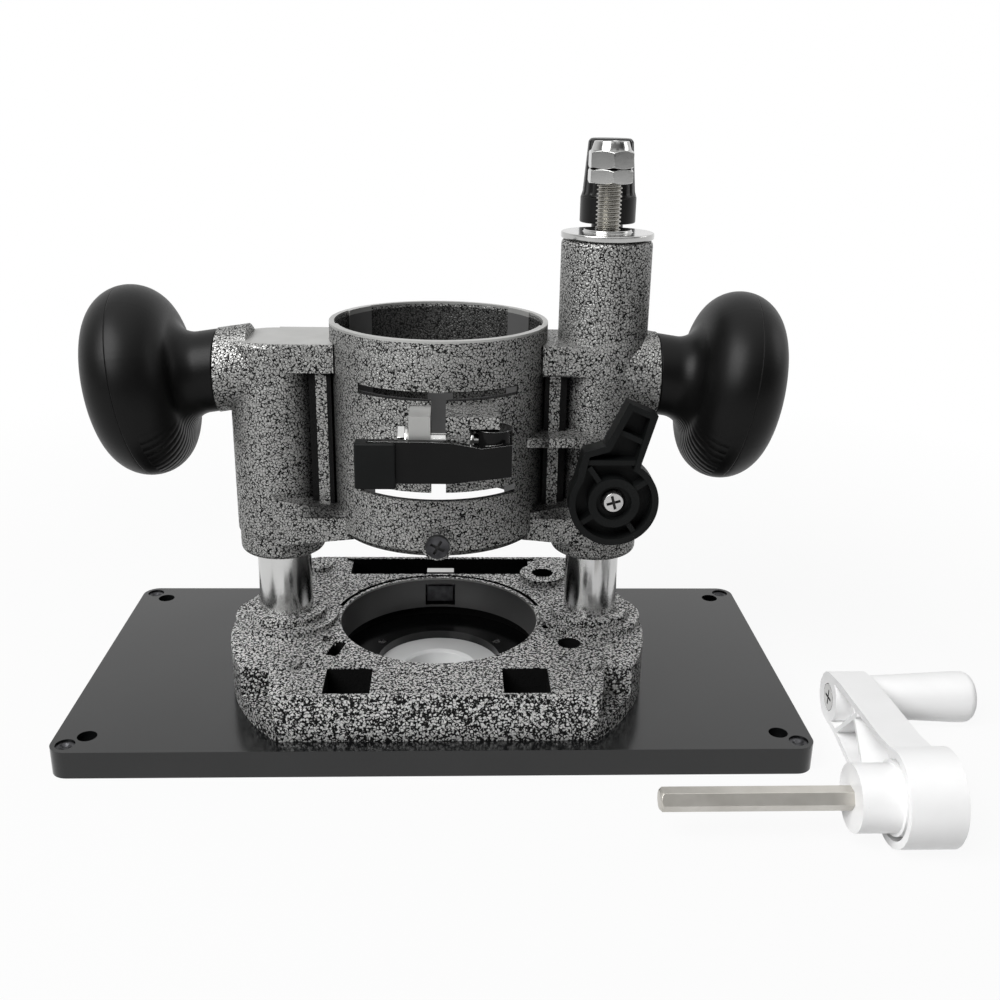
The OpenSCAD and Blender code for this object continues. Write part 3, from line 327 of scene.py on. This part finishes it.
# ---- Insert ring and its screws ----
# A pale moulded ring closes the plate's large hole down to the bit's opening.
# Four small countersunk screws hold it from the table side.
ring_plastic = varied_finish("pale_moulded_plastic", (0.66, 0.67, 0.67), (0.7, 0.7, 0.7),
                             rough=(0.16, 0.24), scales=(40, 300), bump=0.002 * mm)
stand_in("insert_ring", 0.3 * mm, ring_plastic, "base")
small_steel = varied_finish("plated_steel", (0.42, 0.42, 0.42), (0.56, 0.55, 0.54),
                            rough=(0.18, 0.36), scales=(120, 1500), bump=0.01 * mm, metal=1.0)
clad(nodes["ring_screws"], small_steel)

# ---- Levelling screws ----
# A blackened cup-point grub screw stands in each corner and lifts the plate to the table's level.
# Its socket opens to the table side, and its cup point shows on top.
dark_steel = varied_finish("blackened_steel", (0.03, 0.03, 0.032), (0.09, 0.09, 0.095),
                           rough=(0.25, 0.45), scales=(200, 1800), bump=0.01 * mm, metal=1.0)
for number in (1, 2, 3, 4):
    stand_in(f"level_screw_{number}", 0.2 * mm, dark_steel, f"level_screw_{number}")


# ---- Castings ----
# Base and carriage are die-cast aluminium in hammered crackle paint: a silver skin that shrank
# into blobs over a black ground. The machined faces were masked and stay smooth.

# Group of that paint: cells pushed about by a drift, with veins that narrow and widen by patches
drift_scale, patch_scale = 1.7, 1.1
patch_low, patch_high = 0.36, 0.64
narrow_vein, wide_vein = 0.15, 1.7
vein_core = 0.4
dome_width = 0.4
crackle, crackle_in, crackle_out = new_group("crackle", ("Vector", "Cell", "Width", "Waver"),
                                             ("Vein", "Height", "Fleck"))
crackle_place = vector_node(crackle, "SCALE", crackle_in["Vector"], crackle_in["Cell"])
crackle_drift = add_node(crackle, "ShaderNodeTexNoise", Vector=crackle_place, Scale=drift_scale,
                         Detail=2.0)
crackle_centred = vector_node(crackle, "SUBTRACT", crackle_drift.outputs["Color"], (0.5, 0.5, 0.5))
crackle_push = vector_node(crackle, "SCALE", crackle_centred, crackle_in["Waver"])
crackle_moved = vector_node(crackle, "ADD", crackle_place, crackle_push)
crackle_cells = add_node(crackle, "ShaderNodeTexVoronoi", feature="DISTANCE_TO_EDGE",
                         Vector=crackle_moved, Scale=1.0)
crackle_patch = add_node(crackle, "ShaderNodeTexNoise", Vector=crackle_place, Scale=patch_scale,
                         Detail=2.0)
crackle_share = ranged(crackle, crackle_patch.outputs["Fac"], patch_low, patch_high, narrow_vein,
                       wide_vein)
vein_outside = math_node(crackle, "MULTIPLY", crackle_share, crackle_in["Width"])
vein_inside = math_node(crackle, "MULTIPLY", vein_outside, vein_core)
cell_edge = crackle_cells.outputs["Distance"]
for name, result in (("Vein", ranged(crackle, cell_edge, vein_inside, vein_outside, 1, 0, "SMOOTHSTEP")),
                     ("Height", ranged(crackle, cell_edge, 0, dome_width, 0, 1, "SMOOTHSTEP")),
                     ("Fleck", crackle_patch.outputs["Fac"])):
    crackle.links.new(result, crackle_out[name])


def axis_value(tree, split, axis):
    """The coordinate X, Y or Z, or ("R", x, y): the distance from an upright axis in millimetres."""
    if axis in ("X", "Y", "Z"):
        return split.outputs[axis]
    _, axis_x, axis_y = axis
    level = add_node(tree, "ShaderNodeCombineXYZ", X=split.outputs["X"], Y=split.outputs["Y"])
    return vector_node(tree, "DISTANCE", level.outputs[0], (axis_x * mm, axis_y * mm, 0))


def zone_mask(tree, split, zones):
    """1 inside any of the zones. A zone is a list of (axis, low, high) in millimetres."""
    total = None
    for zone in zones:
        inside = None
        for axis, low, high in zone:
            band = add_node(tree, "ShaderNodeMath", operation="COMPARE")
            feed(tree, band.inputs[0], axis_value(tree, split, axis))
            feed(tree, band.inputs[1], (low + high) / 2 * mm)
            feed(tree, band.inputs[2], (high - low) / 2 * mm)
            within = band.outputs[0]
            inside = within if inside is None else math_node(tree, "MULTIPLY", inside, within)
        total = inside if total is None else math_node(tree, "MAXIMUM", total, inside)
    return total


def blend(tree, factor, first, second, kind):
    """Mix of two sockets or values. kind is RGBA or FLOAT."""
    mix = add_node(tree, "ShaderNodeMix", data_type=kind)
    first_at, second_at, result_at = (6, 7, 2) if kind == "RGBA" else (2, 3, 0)
    feed(tree, mix.inputs[0], factor)
    feed(tree, mix.inputs[first_at], first)
    feed(tree, mix.inputs[second_at], second)
    return mix.outputs[result_at]


def both_sides(low, high, *rest):
    """The same zone at +X and at -X."""
    return [[("X", low, high), *rest], [("X", -high, -low), *rest]]


# Painted shade on the walls between the collar and the columns: darker across the gap, but not on the rib
# faces or the shelf.
recess_shade_walls = [[("Z", 68.5, 115), ("Y", -30, 30)]]
rib_faces = both_sides(35, 38.4, ("Y", -14, -11.9))
shelf_zone = [("X", 34.7, 66), ("Y", -22, 0), ("Z", 93.3, 96.7)]
recess_from, recess_full = 27 * mm, 34 * mm
recess_until, recess_end = 39 * mm, 47 * mm
recess_shade_strength = 0.8


def recess_shade(tree, split):
    """A mask of the painted shade on the walls between collar and columns, where shade falls in the gap.
    """
    across = math_node(tree, "ABSOLUTE", split.outputs["X"])
    fade_in = ranged(tree, across, recess_from, recess_full, 0, 1, "SMOOTHSTEP")
    fade_out = ranged(tree, across, recess_until, recess_end, 1, 0, "SMOOTHSTEP")
    shade = math_node(tree, "MULTIPLY", fade_in, fade_out)
    walls = math_node(tree, "MULTIPLY", shade, zone_mask(tree, split, recess_shade_walls))
    painted = math_node(tree, "SUBTRACT", 1.0, zone_mask(tree, split, [*rib_faces, shelf_zone]))
    return math_node(tree, "MULTIPLY", walls, math_node(tree, "MULTIPLY", painted, recess_shade_strength))


# Near black: the veins between the silver blobs, and the painted shade in hollows
vein_and_shade_black = (0.006, 0.006, 0.006, 1)
# The dark grey of the painted shade between collar and columns
recess_shade_colour = (0.012, 0.012, 0.012, 1)
deep_share = 0.7
# Painted shade inside a casting keeps this share of the skin's light colour.
inner_shade_share = 0.22
fine_share = 0.75
# Machined faces inside a casting are painted this dark grey as shade.
inner_shade_metal = (0.15, 0.15, 0.15, 1)
milled_dark, milled_light = (0.34, 0.34, 0.33), (0.48, 0.48, 0.47)
milled_scales = (90, 1600)
milled_rough, milled_metal, milled_height = 0.38, 0.5, 0.5
skin_rough, vein_rough = 0.36, 0.6
skin_metal = 0.65
skin_thickness = 0.12 * mm


def crackle_paint(name, cell, width, waver, light, bare, painted_shade, dim, thin, recess=False):
    """Hammered paint over a black undercoat.

    bare zones are machined. painted_shade ones get no silver skin and are painted black as the shade in
    hollows, dim ones are painted darker as the shade inside the casting, and thin ones have finer veins.
    recess adds painted shade on the walls between collar and columns.
    """
    finish, tree, shader = new_finish(name)
    place = tree.nodes.new("ShaderNodeTexCoord").outputs["Object"]
    split = tree.nodes.new("ShaderNodeSeparateXYZ")
    tree.links.new(place, split.inputs[0])
    vein_width = blend(tree, zone_mask(tree, split, thin), width, fine_share * width, "FLOAT")
    skin = place_group(tree, crackle, place, {"Cell": 1 / cell, "Waver": waver, "Width": vein_width})
    # Hollows get no silver skin and are painted black as shade
    vein_and_shade = math_node(tree, "MAXIMUM", skin["Vein"], zone_mask(tree, split, painted_shade))
    deep = [deep_share * part for part in light]
    silver = ramped(tree, skin["Fleck"], deep, light, slow_dark, slow_light)
    # Painted shade darkens the skin and the machined metal inside the casting
    inner_shade_mask = zone_mask(tree, split, dim)
    shaded = blend(tree, inner_shade_mask, silver, (*[inner_shade_share * part for part in light], 1), "RGBA")
    if recess:
        # Painted shade in the recess between collar and columns
        shaded = blend(tree, recess_shade(tree, split), shaded, recess_shade_colour, "RGBA")
    paint = blend(tree, vein_and_shade, shaded, vein_and_shade_black, "RGBA")
    machined = zone_mask(tree, split, bare)
    bare_metal = ramped(tree, place_mottle(tree, *milled_scales)["Slow"], milled_dark, milled_light)
    milled = blend(tree, inner_shade_mask, bare_metal, inner_shade_metal, "RGBA")
    gloss = ranged(tree, skin["Vein"], 0.0, 1.0, skin_rough, vein_rough)
    sheen = math_node(tree, "MULTIPLY", math_node(tree, "SUBTRACT", 1.0, vein_and_shade), skin_metal)
    height = blend(tree, machined, skin["Height"], milled_height, "FLOAT")
    for socket, given in (("Base Color", blend(tree, machined, paint, milled, "RGBA")),
                          ("Roughness", blend(tree, machined, gloss, milled_rough, "FLOAT")),
                          ("Metallic", blend(tree, machined, sheen, milled_metal, "FLOAT")),
                          ("IOR", 1.15),
                          ("Normal", bumped(tree, height, skin_thickness, strength=0.8))):
        feed(tree, shader.inputs[socket], given)
    return finish


# Zones of the base: its machined wall, its hollows painted black as shade, and the painted shade inside
# it
collar_axis = ("R", 0, 0)
opening_wall = [(collar_axis, 0, 34.5), ("Z", 13.1, 24.9)]
undercut = [(collar_axis, 0, 36.8), ("Z", 0, 13.1)]
rim_groove = [(collar_axis, 35.35, 36.95), ("Z", 23, 24.9)]
front_pockets = both_sides(20.3, 35.2, ("Y", -53.5, -36.8), ("Z", 0, 24.6))
rear_pocket = [("X", -36.8, 36.8), ("Y", 37.6, 53.1), ("Z", 0, 24.6)]
keyway = [("X", -5.8, 5.8), ("Y", 33.9, 38), ("Z", 13, 22.9)]
rear_hole = [(("R", 38.7, 34.5), 0, 4.1), ("Z", 0, 26.7)]
front_hole = [(("R", 43.7, -20), 0, 3.9), ("Z", 0, 26.7)]
small_hole = [(("R", 37, -7.5), 0, 1.8), ("Z", 0, 24.8)]
slot_zone = [("X", -37.5, -30), ("Y", -29.5, -17.8), ("Z", 19, 24.6)]
rim_nicks = both_sides(35.7, 39.1, ("Y", -1.6, 2.6), ("Z", 23, 24.8))
side_nicks = both_sides(67.6, 70.2, ("Y", 0.8, 6.2), ("Z", 20, 24.8))
# Painted shade: the base's undercut, groove, pockets, keyway, holes, slot and nicks are painted black.
base_hollow_shade = [undercut, rim_groove, *front_pockets, rear_pocket, keyway, rear_hole, front_hole,
               small_hole, slot_zone, *rim_nicks, *side_nicks]
# Painted shade inside the opening and under the base's top
base_inner_shade = [[(collar_axis, 0, 34.3), ("Z", 0, 24.3)]]
base_top = [[("Z", 24.8, 31)]]
base_cell, base_waver = 1.1 * mm, 1.2
base_zones = {"bare": [opening_wall], "painted_shade": base_hollow_shade, "dim": base_inner_shade, "thin": base_top}
base_paint = crackle_paint("base_crackle", base_cell, 0.28, base_waver, (0.82, 0.82, 0.81), **base_zones)
# The broken edges are lighter: worn paint, and a painted highlight.
base_edge_wear_and_highlight = crackle_paint("base_crackle_edges", base_cell, 0.14, base_waver, (0.95, 0.95, 0.94),
                          **base_zones)
base_piece = stand_in("base_casting", 0.5 * mm, base_paint, "base", edge_wear_and_highlight=base_edge_wear_and_highlight)

# The slot for a hand tool, in the top beside the opening
slot_place = (-33.5 * mm, -23.6 * mm, 23 * mm)
slot_size = (4 * mm, 10 * mm, 7 * mm)
slot_turn = math.radians(-14)
bpy.ops.object.select_all(action="DESELECT")
bpy.ops.mesh.primitive_cube_add(size=1, location=slot_place, rotation=(0, 0, slot_turn), scale=slot_size)
slot_cutter = bpy.context.object
bpy.ops.object.transform_apply(location=True, rotation=True, scale=True)
slot_bevel = slot_cutter.modifiers.new("slot_bevel", "BEVEL")
slot_bevel.width = 0.8 * mm
slot_bevel.segments = 3
bpy.ops.object.modifier_apply(modifier="slot_bevel")
bpy.context.view_layer.objects.active = base_piece
tool_slot = base_piece.modifiers.new("tool_slot", "BOOLEAN")
tool_slot.object = slot_cutter
bpy.ops.object.modifier_apply(modifier="tool_slot")
bpy.data.objects.remove(slot_cutter)
clad(nodes["base_screws"], small_steel)

# Zones of the carriage, in the same order
collar_rim = [(collar_axis, 0, 36), ("Z", 128.9, 129.8)]
collar_bore = [(collar_axis, 32.2, 32.75), ("Z", 52, 129.3)]
rear_relief = [("X", -4.5, 4.5), ("Y", 30, 33.3), ("Z", 66, 100)]
left_arm_top = [("X", -66, 0), ("Z", 123.9, 124.1), (collar_axis, 34.9, 80)]
lug_face = [("X", -8.3, -1.8), ("Y", -48.6, -36), ("Z", 95.8, 110.9)]
carriage_bare = [collar_rim, collar_bore, rear_relief, left_arm_top, lug_face]
# Painted shade: the upper slit and the strips beside the ribs are painted black.
upper_slit = [("X", -24.2, 24.2), ("Y", -34.6, -20), ("Z", 111.7, 114.5)]
carriage_slit_shade = [upper_slit, *both_sides(33.5, 35, ("Y", -12.2, -11.8), ("Z", 66, 116)),
                   *both_sides(38.4, 40.7, ("Y", -12.2, -5), ("Z", 66, 116))]
# Painted shade inside the collar
carriage_inner_shade = [[(collar_axis, 0, 34), ("Z", 52, 128)]]
arm_tops = [[("Z", 123, 125)]]
carriage_cell, carriage_waver = 0.92 * mm, 0.9
carriage_zones = {"bare": carriage_bare, "painted_shade": carriage_slit_shade, "dim": carriage_inner_shade, "thin": arm_tops}
carriage_paint = crackle_paint("carriage_crackle", carriage_cell, 0.15, carriage_waver,
                               (0.44, 0.44, 0.43), **carriage_zones, recess=True)
# The broken edges are lighter: worn paint, and a painted highlight.
carriage_edge_wear_and_highlight = crackle_paint("carriage_crackle_edges", carriage_cell, 0.1, carriage_waver,
                              (0.8, 0.8, 0.79), **carriage_zones, recess=True)
stand_in("carriage_casting", 0.5 * mm, carriage_paint, "carriage", edge_wear_and_highlight=carriage_edge_wear_and_highlight)

# ---- Guide latch ----
# A black steel bar slides in the rear pocket, and its tongue reaches into the keyway.
# A bright thumb tab stands on it.
stand_in("guide_latch", 0.3 * mm, dark_steel, "latch")
chrome = varied_finish("polished_chrome", (0.4, 0.4, 0.395), (0.52, 0.52, 0.51),
                       rough=(0.1, 0.2), scales=(40, 600), bump=0.003 * mm, metal=1.0)
stand_in("latch_tab", 0.3 * mm, chrome, "latch")

# ---- Posts ----
# Two ground and hard-chromed tubes guide the carriage, pressed into the base.
# The left one holds the return spring, and the right one the drive coupler.
ground_chrome = varied_finish("ground_chrome", (0.5, 0.5, 0.5), (0.62, 0.62, 0.61),
                              rough=(0.1, 0.22), scales=(30, 900), bump=0.004 * mm, metal=1.0)
for name in ("left_post", "right_post"):
    clad(nodes[name], ground_chrome)
for name in ("thrust_washer", "drive_coupler", "coupler_pin", "handle_studs", "cam_pin", "lock_bolt"):
    clad(nodes[name], small_steel)
spring = stand_in("return_spring", 0, small_steel, "base")
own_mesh(spring)
bronze = varied_finish("sintered_bronze", (0.33, 0.2, 0.08), (0.42, 0.27, 0.12),
                       rough=(0.4, 0.6), scales=(150, 1400), bump=0.02 * mm, metal=1.0)
for name in ("left_bushings", "right_bushings", "lock_pad"):
    clad(nodes[name], bronze)


# ---- Lead screw and nuts ----
# An M8 screw with a coarse rolled thread turns in the flanged nut on the right column.
# A thin stop nut and a nylon-ring lock nut close its upper end.
def profile_line(name, points, place):
    """A line of edges through points (x, z), drawn in the XZ plane from one merged vertex."""
    bpy.ops.object.select_all(action="DESELECT")
    bpy.ops.mesh.primitive_plane_add(size=mm, location=place)
    piece = bpy.context.object
    piece.name = name
    bpy.ops.object.mode_set(mode="EDIT")
    bpy.ops.mesh.select_all(action="SELECT")
    bpy.ops.mesh.merge(type="CENTER")
    bpy.ops.transform.translate(value=(points[0][0], 0, points[0][1]))
    for (x0, z0), (x1, z1) in zip(points, points[1:]):
        bpy.ops.mesh.extrude_vertices_move(TRANSFORM_OT_translate={"value": (x1 - x0, 0, z1 - z0)})
    bpy.ops.object.mode_set(mode="OBJECT")
    return piece


screw_low, screw_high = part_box("lead_screw")
screw_x = (screw_low[0] + screw_high[0]) / 2
screw_r = (screw_high[0] - screw_low[0]) / 2
thread_pitch = 1.25 * mm
thread_depth = 0.6 * mm
thread_runout = 1.2 * mm
thread_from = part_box("drive_coupler")[1][2] + 2 * mm
thread_turns = int((screw_high[2] - thread_runout - thread_from) / thread_pitch)
root_r = screw_r - thread_depth
below_root = root_r - 0.1 * mm
thread_profile = [(below_root, 0), (root_r, 0.15 * mm), (screw_r, 0.5 * mm), (screw_r, 0.68 * mm),
                  (root_r, 1.05 * mm), (below_root, thread_pitch)]
thread = profile_line("lead_screw_thread", thread_profile, (screw_x, 0, thread_from))
rolled = thread.modifiers.new("rolled", "SCREW")
rolled.steps = 24
rolled.render_steps = 24
rolled.screw_offset = thread_pitch
rolled.iterations = thread_turns
rolled.use_merge_vertices = True
rolled.merge_threshold = 0.01 * mm
rolled.use_normal_calculate = True
bpy.ops.object.modifier_apply(modifier="rolled")
bpy.ops.object.transform_apply(location=True)
thread_steel = varied_finish("rolled_steel", (0.27, 0.26, 0.24), (0.4, 0.39, 0.36),
                             rough=(0.2, 0.36), scales=(120, 1500), bump=0.01 * mm, metal=1.0)
shank = rounded_copy("lead_screw", "lead_screw_shank", 0, thread_steel)
bpy.ops.object.mode_set(mode="EDIT")
bpy.ops.mesh.select_all(action="DESELECT")
bpy.ops.object.mode_set(mode="OBJECT")
skin_depth = 0.05 * mm
for corner in shank.data.vertices:
    corner.select = math.hypot(corner.co.x - screw_x, corner.co.y) > screw_r - skin_depth
bpy.ops.object.mode_set(mode="EDIT")
bpy.ops.transform.resize(value=(root_r / screw_r, root_r / screw_r, 1), center_override=(screw_x, 0, 0))
bpy.ops.object.mode_set(mode="OBJECT")
bpy.ops.object.select_all(action="DESELECT")
thread.select_set(True)
shank.select_set(True)
bpy.context.view_layer.objects.active = thread
bpy.ops.object.join()
bpy.ops.object.shade_smooth_by_angle(angle=math.radians(25))
clad(thread, thread_steel)
clad(nodes["lead_screw"], thread_steel)
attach(thread, "screw")
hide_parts("lead_screw")
stand_in("stop_nut", 0.25 * mm, chrome, "screw", steps=3)
stand_in("lock_nut", 0.4 * mm, chrome, "screw", steps=3)
stand_in("lift_nut", 0.6 * mm, chrome, "carriage", steps=4)


# ---- Handles ----
# Each is a mushroom moulded in black plastic with a fine satin skin, a cap seam near its outer
# face and flutes on the rim's inner side. It is screwed on to a stud in the casting's side.

# Group of the flutes and the seam, as heights round the Z axis of the place that it is given
flutes_inputs = ("Vector", "Count", "Low", "High", "Seam", "Side", "From")
flutes, flutes_in, flutes_out = new_group("flutes", flutes_inputs, ("Height",))
seam_half_width = 0.2 * mm
flutes_start = 6 * mm
flutes_split = flutes.nodes.new("ShaderNodeSeparateXYZ")
flutes.links.new(flutes_in["Vector"], flutes_split.inputs[0])
across, level, along = [flutes_split.outputs[axis] for axis in ("X", "Y", "Z")]
flutes_angle = math_node(flutes, "ARCTAN2", level, across)
flutes_turn = math_node(flutes, "MULTIPLY", flutes_angle, flutes_in["Count"])
flutes_crest = math_node(flutes, "ABSOLUTE", math_node(flutes, "SINE", flutes_turn))
flutes_length = math_node(flutes, "MULTIPLY", math_node(flutes, "GREATER_THAN", along, flutes_in["Low"]),
                          math_node(flutes, "LESS_THAN", along, flutes_in["High"]))
flutes_past = math_node(flutes, "SUBTRACT", math_node(flutes, "MULTIPLY", across, flutes_in["Side"]),
                        flutes_in["From"])
flutes_part = ranged(flutes, flutes_past, 0.0, flutes_start, 0.0, 1.0)
flutes_band = math_node(flutes, "MULTIPLY", flutes_length,
                        math_node(flutes, "MULTIPLY", flutes_part, flutes_crest))
seam_away = math_node(flutes, "ABSOLUTE", math_node(flutes, "SUBTRACT", along, flutes_in["Seam"]))
seam_line = ranged(flutes, seam_away, 0.0, seam_half_width, -1, 0)
flutes.links.new(math_node(flutes, "ADD", flutes_band, seam_line), flutes_out["Height"])


def flute(finish, place, turn, count, low, high, seam, depth, side=1, start=-1):
    """Adds flutes round an axis to a finish, from low to high along it, and a seam at its own place.

    The flutes begin past start on the side given. The start of -1 m leaves none out.
    """
    tree = finish.node_tree
    grain = tree.nodes["Principled BSDF"].inputs["Normal"].links[0].from_node
    coordinates = tree.nodes.new("ShaderNodeTexCoord").outputs["Object"]
    centred = add_node(tree, "ShaderNodeMapping", vector_type="TEXTURE", Vector=coordinates,
                       Location=place, Rotation=turn)
    cut_in = place_group(tree, flutes, centred.outputs[0],
                         {"Count": count / 2, "Low": low, "High": high, "Seam": seam, "Side": side,
                          "From": start})
    tree.links.new(bumped(tree, cut_in["Height"], depth), grain.inputs["Normal"])


handle_droop = math.radians(98.6)
handle_below_top = 40.4 * mm
handle_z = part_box("carriage_casting")[1][2] - handle_below_top
for side, name in ((-1, "left_handle"), (1, "right_handle")):
    satin_black = varied_finish(f"satin_black_{name}", (0.002, 0.002, 0.002), (0.004, 0.004, 0.004),
                                rough=(0.34, 0.46), scales=(25, 1200), bump=0.006 * mm, ior=1.24)
    flute(satin_black, (side * screw_x, 0, handle_z), (0, side * handle_droop, 0), count=64,
          low=27 * mm, high=40 * mm, seam=43.8 * mm, depth=0.25 * mm, side=side, start=10 * mm)
    stand_in(name, 0.4 * mm, satin_black, "carriage")

# ---- Plunge lock ----
# A ribbed black plastic lever on a steel bolt presses a soft pad on to the right post.
# A plated cross-head screw fixes it.
lever_plastic = varied_finish("moulded_black_plastic", (0.004, 0.0045, 0.0045), (0.007, 0.0075, 0.0075),
                              rough=(0.35, 0.5), scales=(60, 1800), bump=0.02 * mm, ior=1.2)
stand_in("lock_lever", 0.4 * mm, lever_plastic, "plunge_lock")
# Painted shade: the recess of a cross head is clad near black.
recess_shade_black = varied_finish("recess_black", (0.006, 0.006, 0.006), (0.02, 0.02, 0.02),
                            rough=(0.5, 0.7), scales=(200, 1500), bump=0.01 * mm)
recess_depth = (0.1 * mm, 1 * mm)
recess_face_area = 12 * mm * mm


def cross_head(name, body, finish, axis, turn=0):
    """Copy of a cross-head screw, turned about its axis, whose recess is painted dark as shade. It faces
    the low side.
    """
    piece = stand_in(name, 0.15 * mm, finish, body)
    low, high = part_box(name)
    bpy.ops.object.mode_set(mode="EDIT")
    bpy.ops.mesh.select_all(action="SELECT")
    bpy.ops.transform.rotate(value=math.radians(turn), orient_axis="XYZ"[axis],
                             center_override=[(a + b) / 2 for a, b in zip(low, high)])
    bpy.ops.object.mode_set(mode="OBJECT")
    piece.data.materials.append(recess_shade_black)
    for polygon in piece.data.polygons:
        sunk = recess_depth[0] < polygon.center[axis] - low[axis] < recess_depth[1]
        if sunk and polygon.area < recess_face_area:
            polygon.material_index = 1
    return piece


cross_head("lock_lever_screw", "plunge_lock", small_steel, axis=1, turn=16)

# ---- Motor clamp ----
# A draw bolt crosses the slit between the two lugs of the collar, and a cam lever pulls it.
# The lever is a black lacquered strip with a plastic tip.
stand_in("clamp_bolt", 0.3 * mm, chrome, "carriage")
stand_in("clamp_washers", 0.2 * mm, chrome, "carriage")
lacquer = varied_finish("black_lacquer", (0.004, 0.004, 0.004), (0.006, 0.006, 0.006),
                        rough=(0.08, 0.16), scales=(60, 700), bump=0.003 * mm, ior=1.2)
# Painted highlight: the strip's broken edges are clad in bright metal, for the reflection along its
# lacquered edges.
lacquer_edge_highlight = varied_finish("black_lacquer_edges", (0.4, 0.4, 0.4), (0.7, 0.7, 0.69),
                              rough=(0.24, 0.36), scales=(60, 700), bump=0.003 * mm, metal=1.0)
stand_in("cam_lever", 0.6 * mm, lacquer, "clamp_lever", steps=4, edge_wear_and_highlight=lacquer_edge_highlight)
stand_in("lever_tip", 0.7 * mm, lever_plastic, "clamp_lever", steps=3)
cross_head("collar_screw", "carriage", dark_steel, axis=1, turn=-28)

# ---- Depth stop ----
# A steel rod with a fluted black knob slides in two lugs behind the right column.
# A knurled thumb screw clamps it.
clad(nodes["depth_rod"], small_steel)
knob_low, knob_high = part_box("depth_knob")
knob_centre = ((knob_low[0] + knob_high[0]) / 2, (knob_low[1] + knob_high[1]) / 2, knob_low[2])
knob_plastic = varied_finish("fluted_black_plastic", (0.005, 0.005, 0.005), (0.008, 0.008, 0.008),
                             rough=(0.25, 0.4), scales=(60, 1800), bump=0.01 * mm, ior=1.28)
flute(knob_plastic, knob_centre, (0, 0, 0), count=16, low=15 * mm, high=32 * mm, seam=14.3 * mm,
      depth=0.4 * mm)
stand_in("depth_knob", 0.5 * mm, knob_plastic, "depth_stop", steps=3)
thumb_low, thumb_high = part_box("thumb_screw")
thumb_centre = ((thumb_low[0] + thumb_high[0]) / 2, thumb_low[1], (thumb_low[2] + thumb_high[2]) / 2)
thumb_plastic = varied_finish("knurled_black_plastic", (0.005, 0.005, 0.005), (0.008, 0.008, 0.008),
                              rough=(0.3, 0.45), scales=(60, 1800), bump=0.01 * mm, ior=1.28)
flute(thumb_plastic, thumb_centre, (-math.pi / 2, 0, 0), count=36, low=4 * mm, high=30 * mm,
      seam=-5 * mm, depth=0.3 * mm)
stand_in("thumb_screw", 0.5 * mm, thumb_plastic, "depth_clamp")

# ---- Crank ----
# A white moulded arm with a ribbed back carries a hexagon shaft and a turning grip.
# It lies beside the plate, and drives the lift through the hole under the right post.
white_plastic = varied_finish("white_moulded_plastic", (0.84, 0.84, 0.84), (0.88, 0.88, 0.88),
                              rough=(0.25, 0.35), scales=(50, 300), bump=0.004 * mm)
stand_in("crank_arm", 0.6 * mm, white_plastic, "crank", steps=3)
stand_in("crank_grip", 0.4 * mm, white_plastic, "grip", steps=3)
shaft_steel = varied_finish("drawn_steel", (0.5, 0.48, 0.44), (0.62, 0.6, 0.56),
                            rough=(0.34, 0.46), scales=(80, 900), bump=0.004 * mm, metal=0.8)
stand_in("crank_shaft", 0.3 * mm, shaft_steel, "crank", steps=3)
cross_head("crank_screw", "crank", chrome, axis=0)
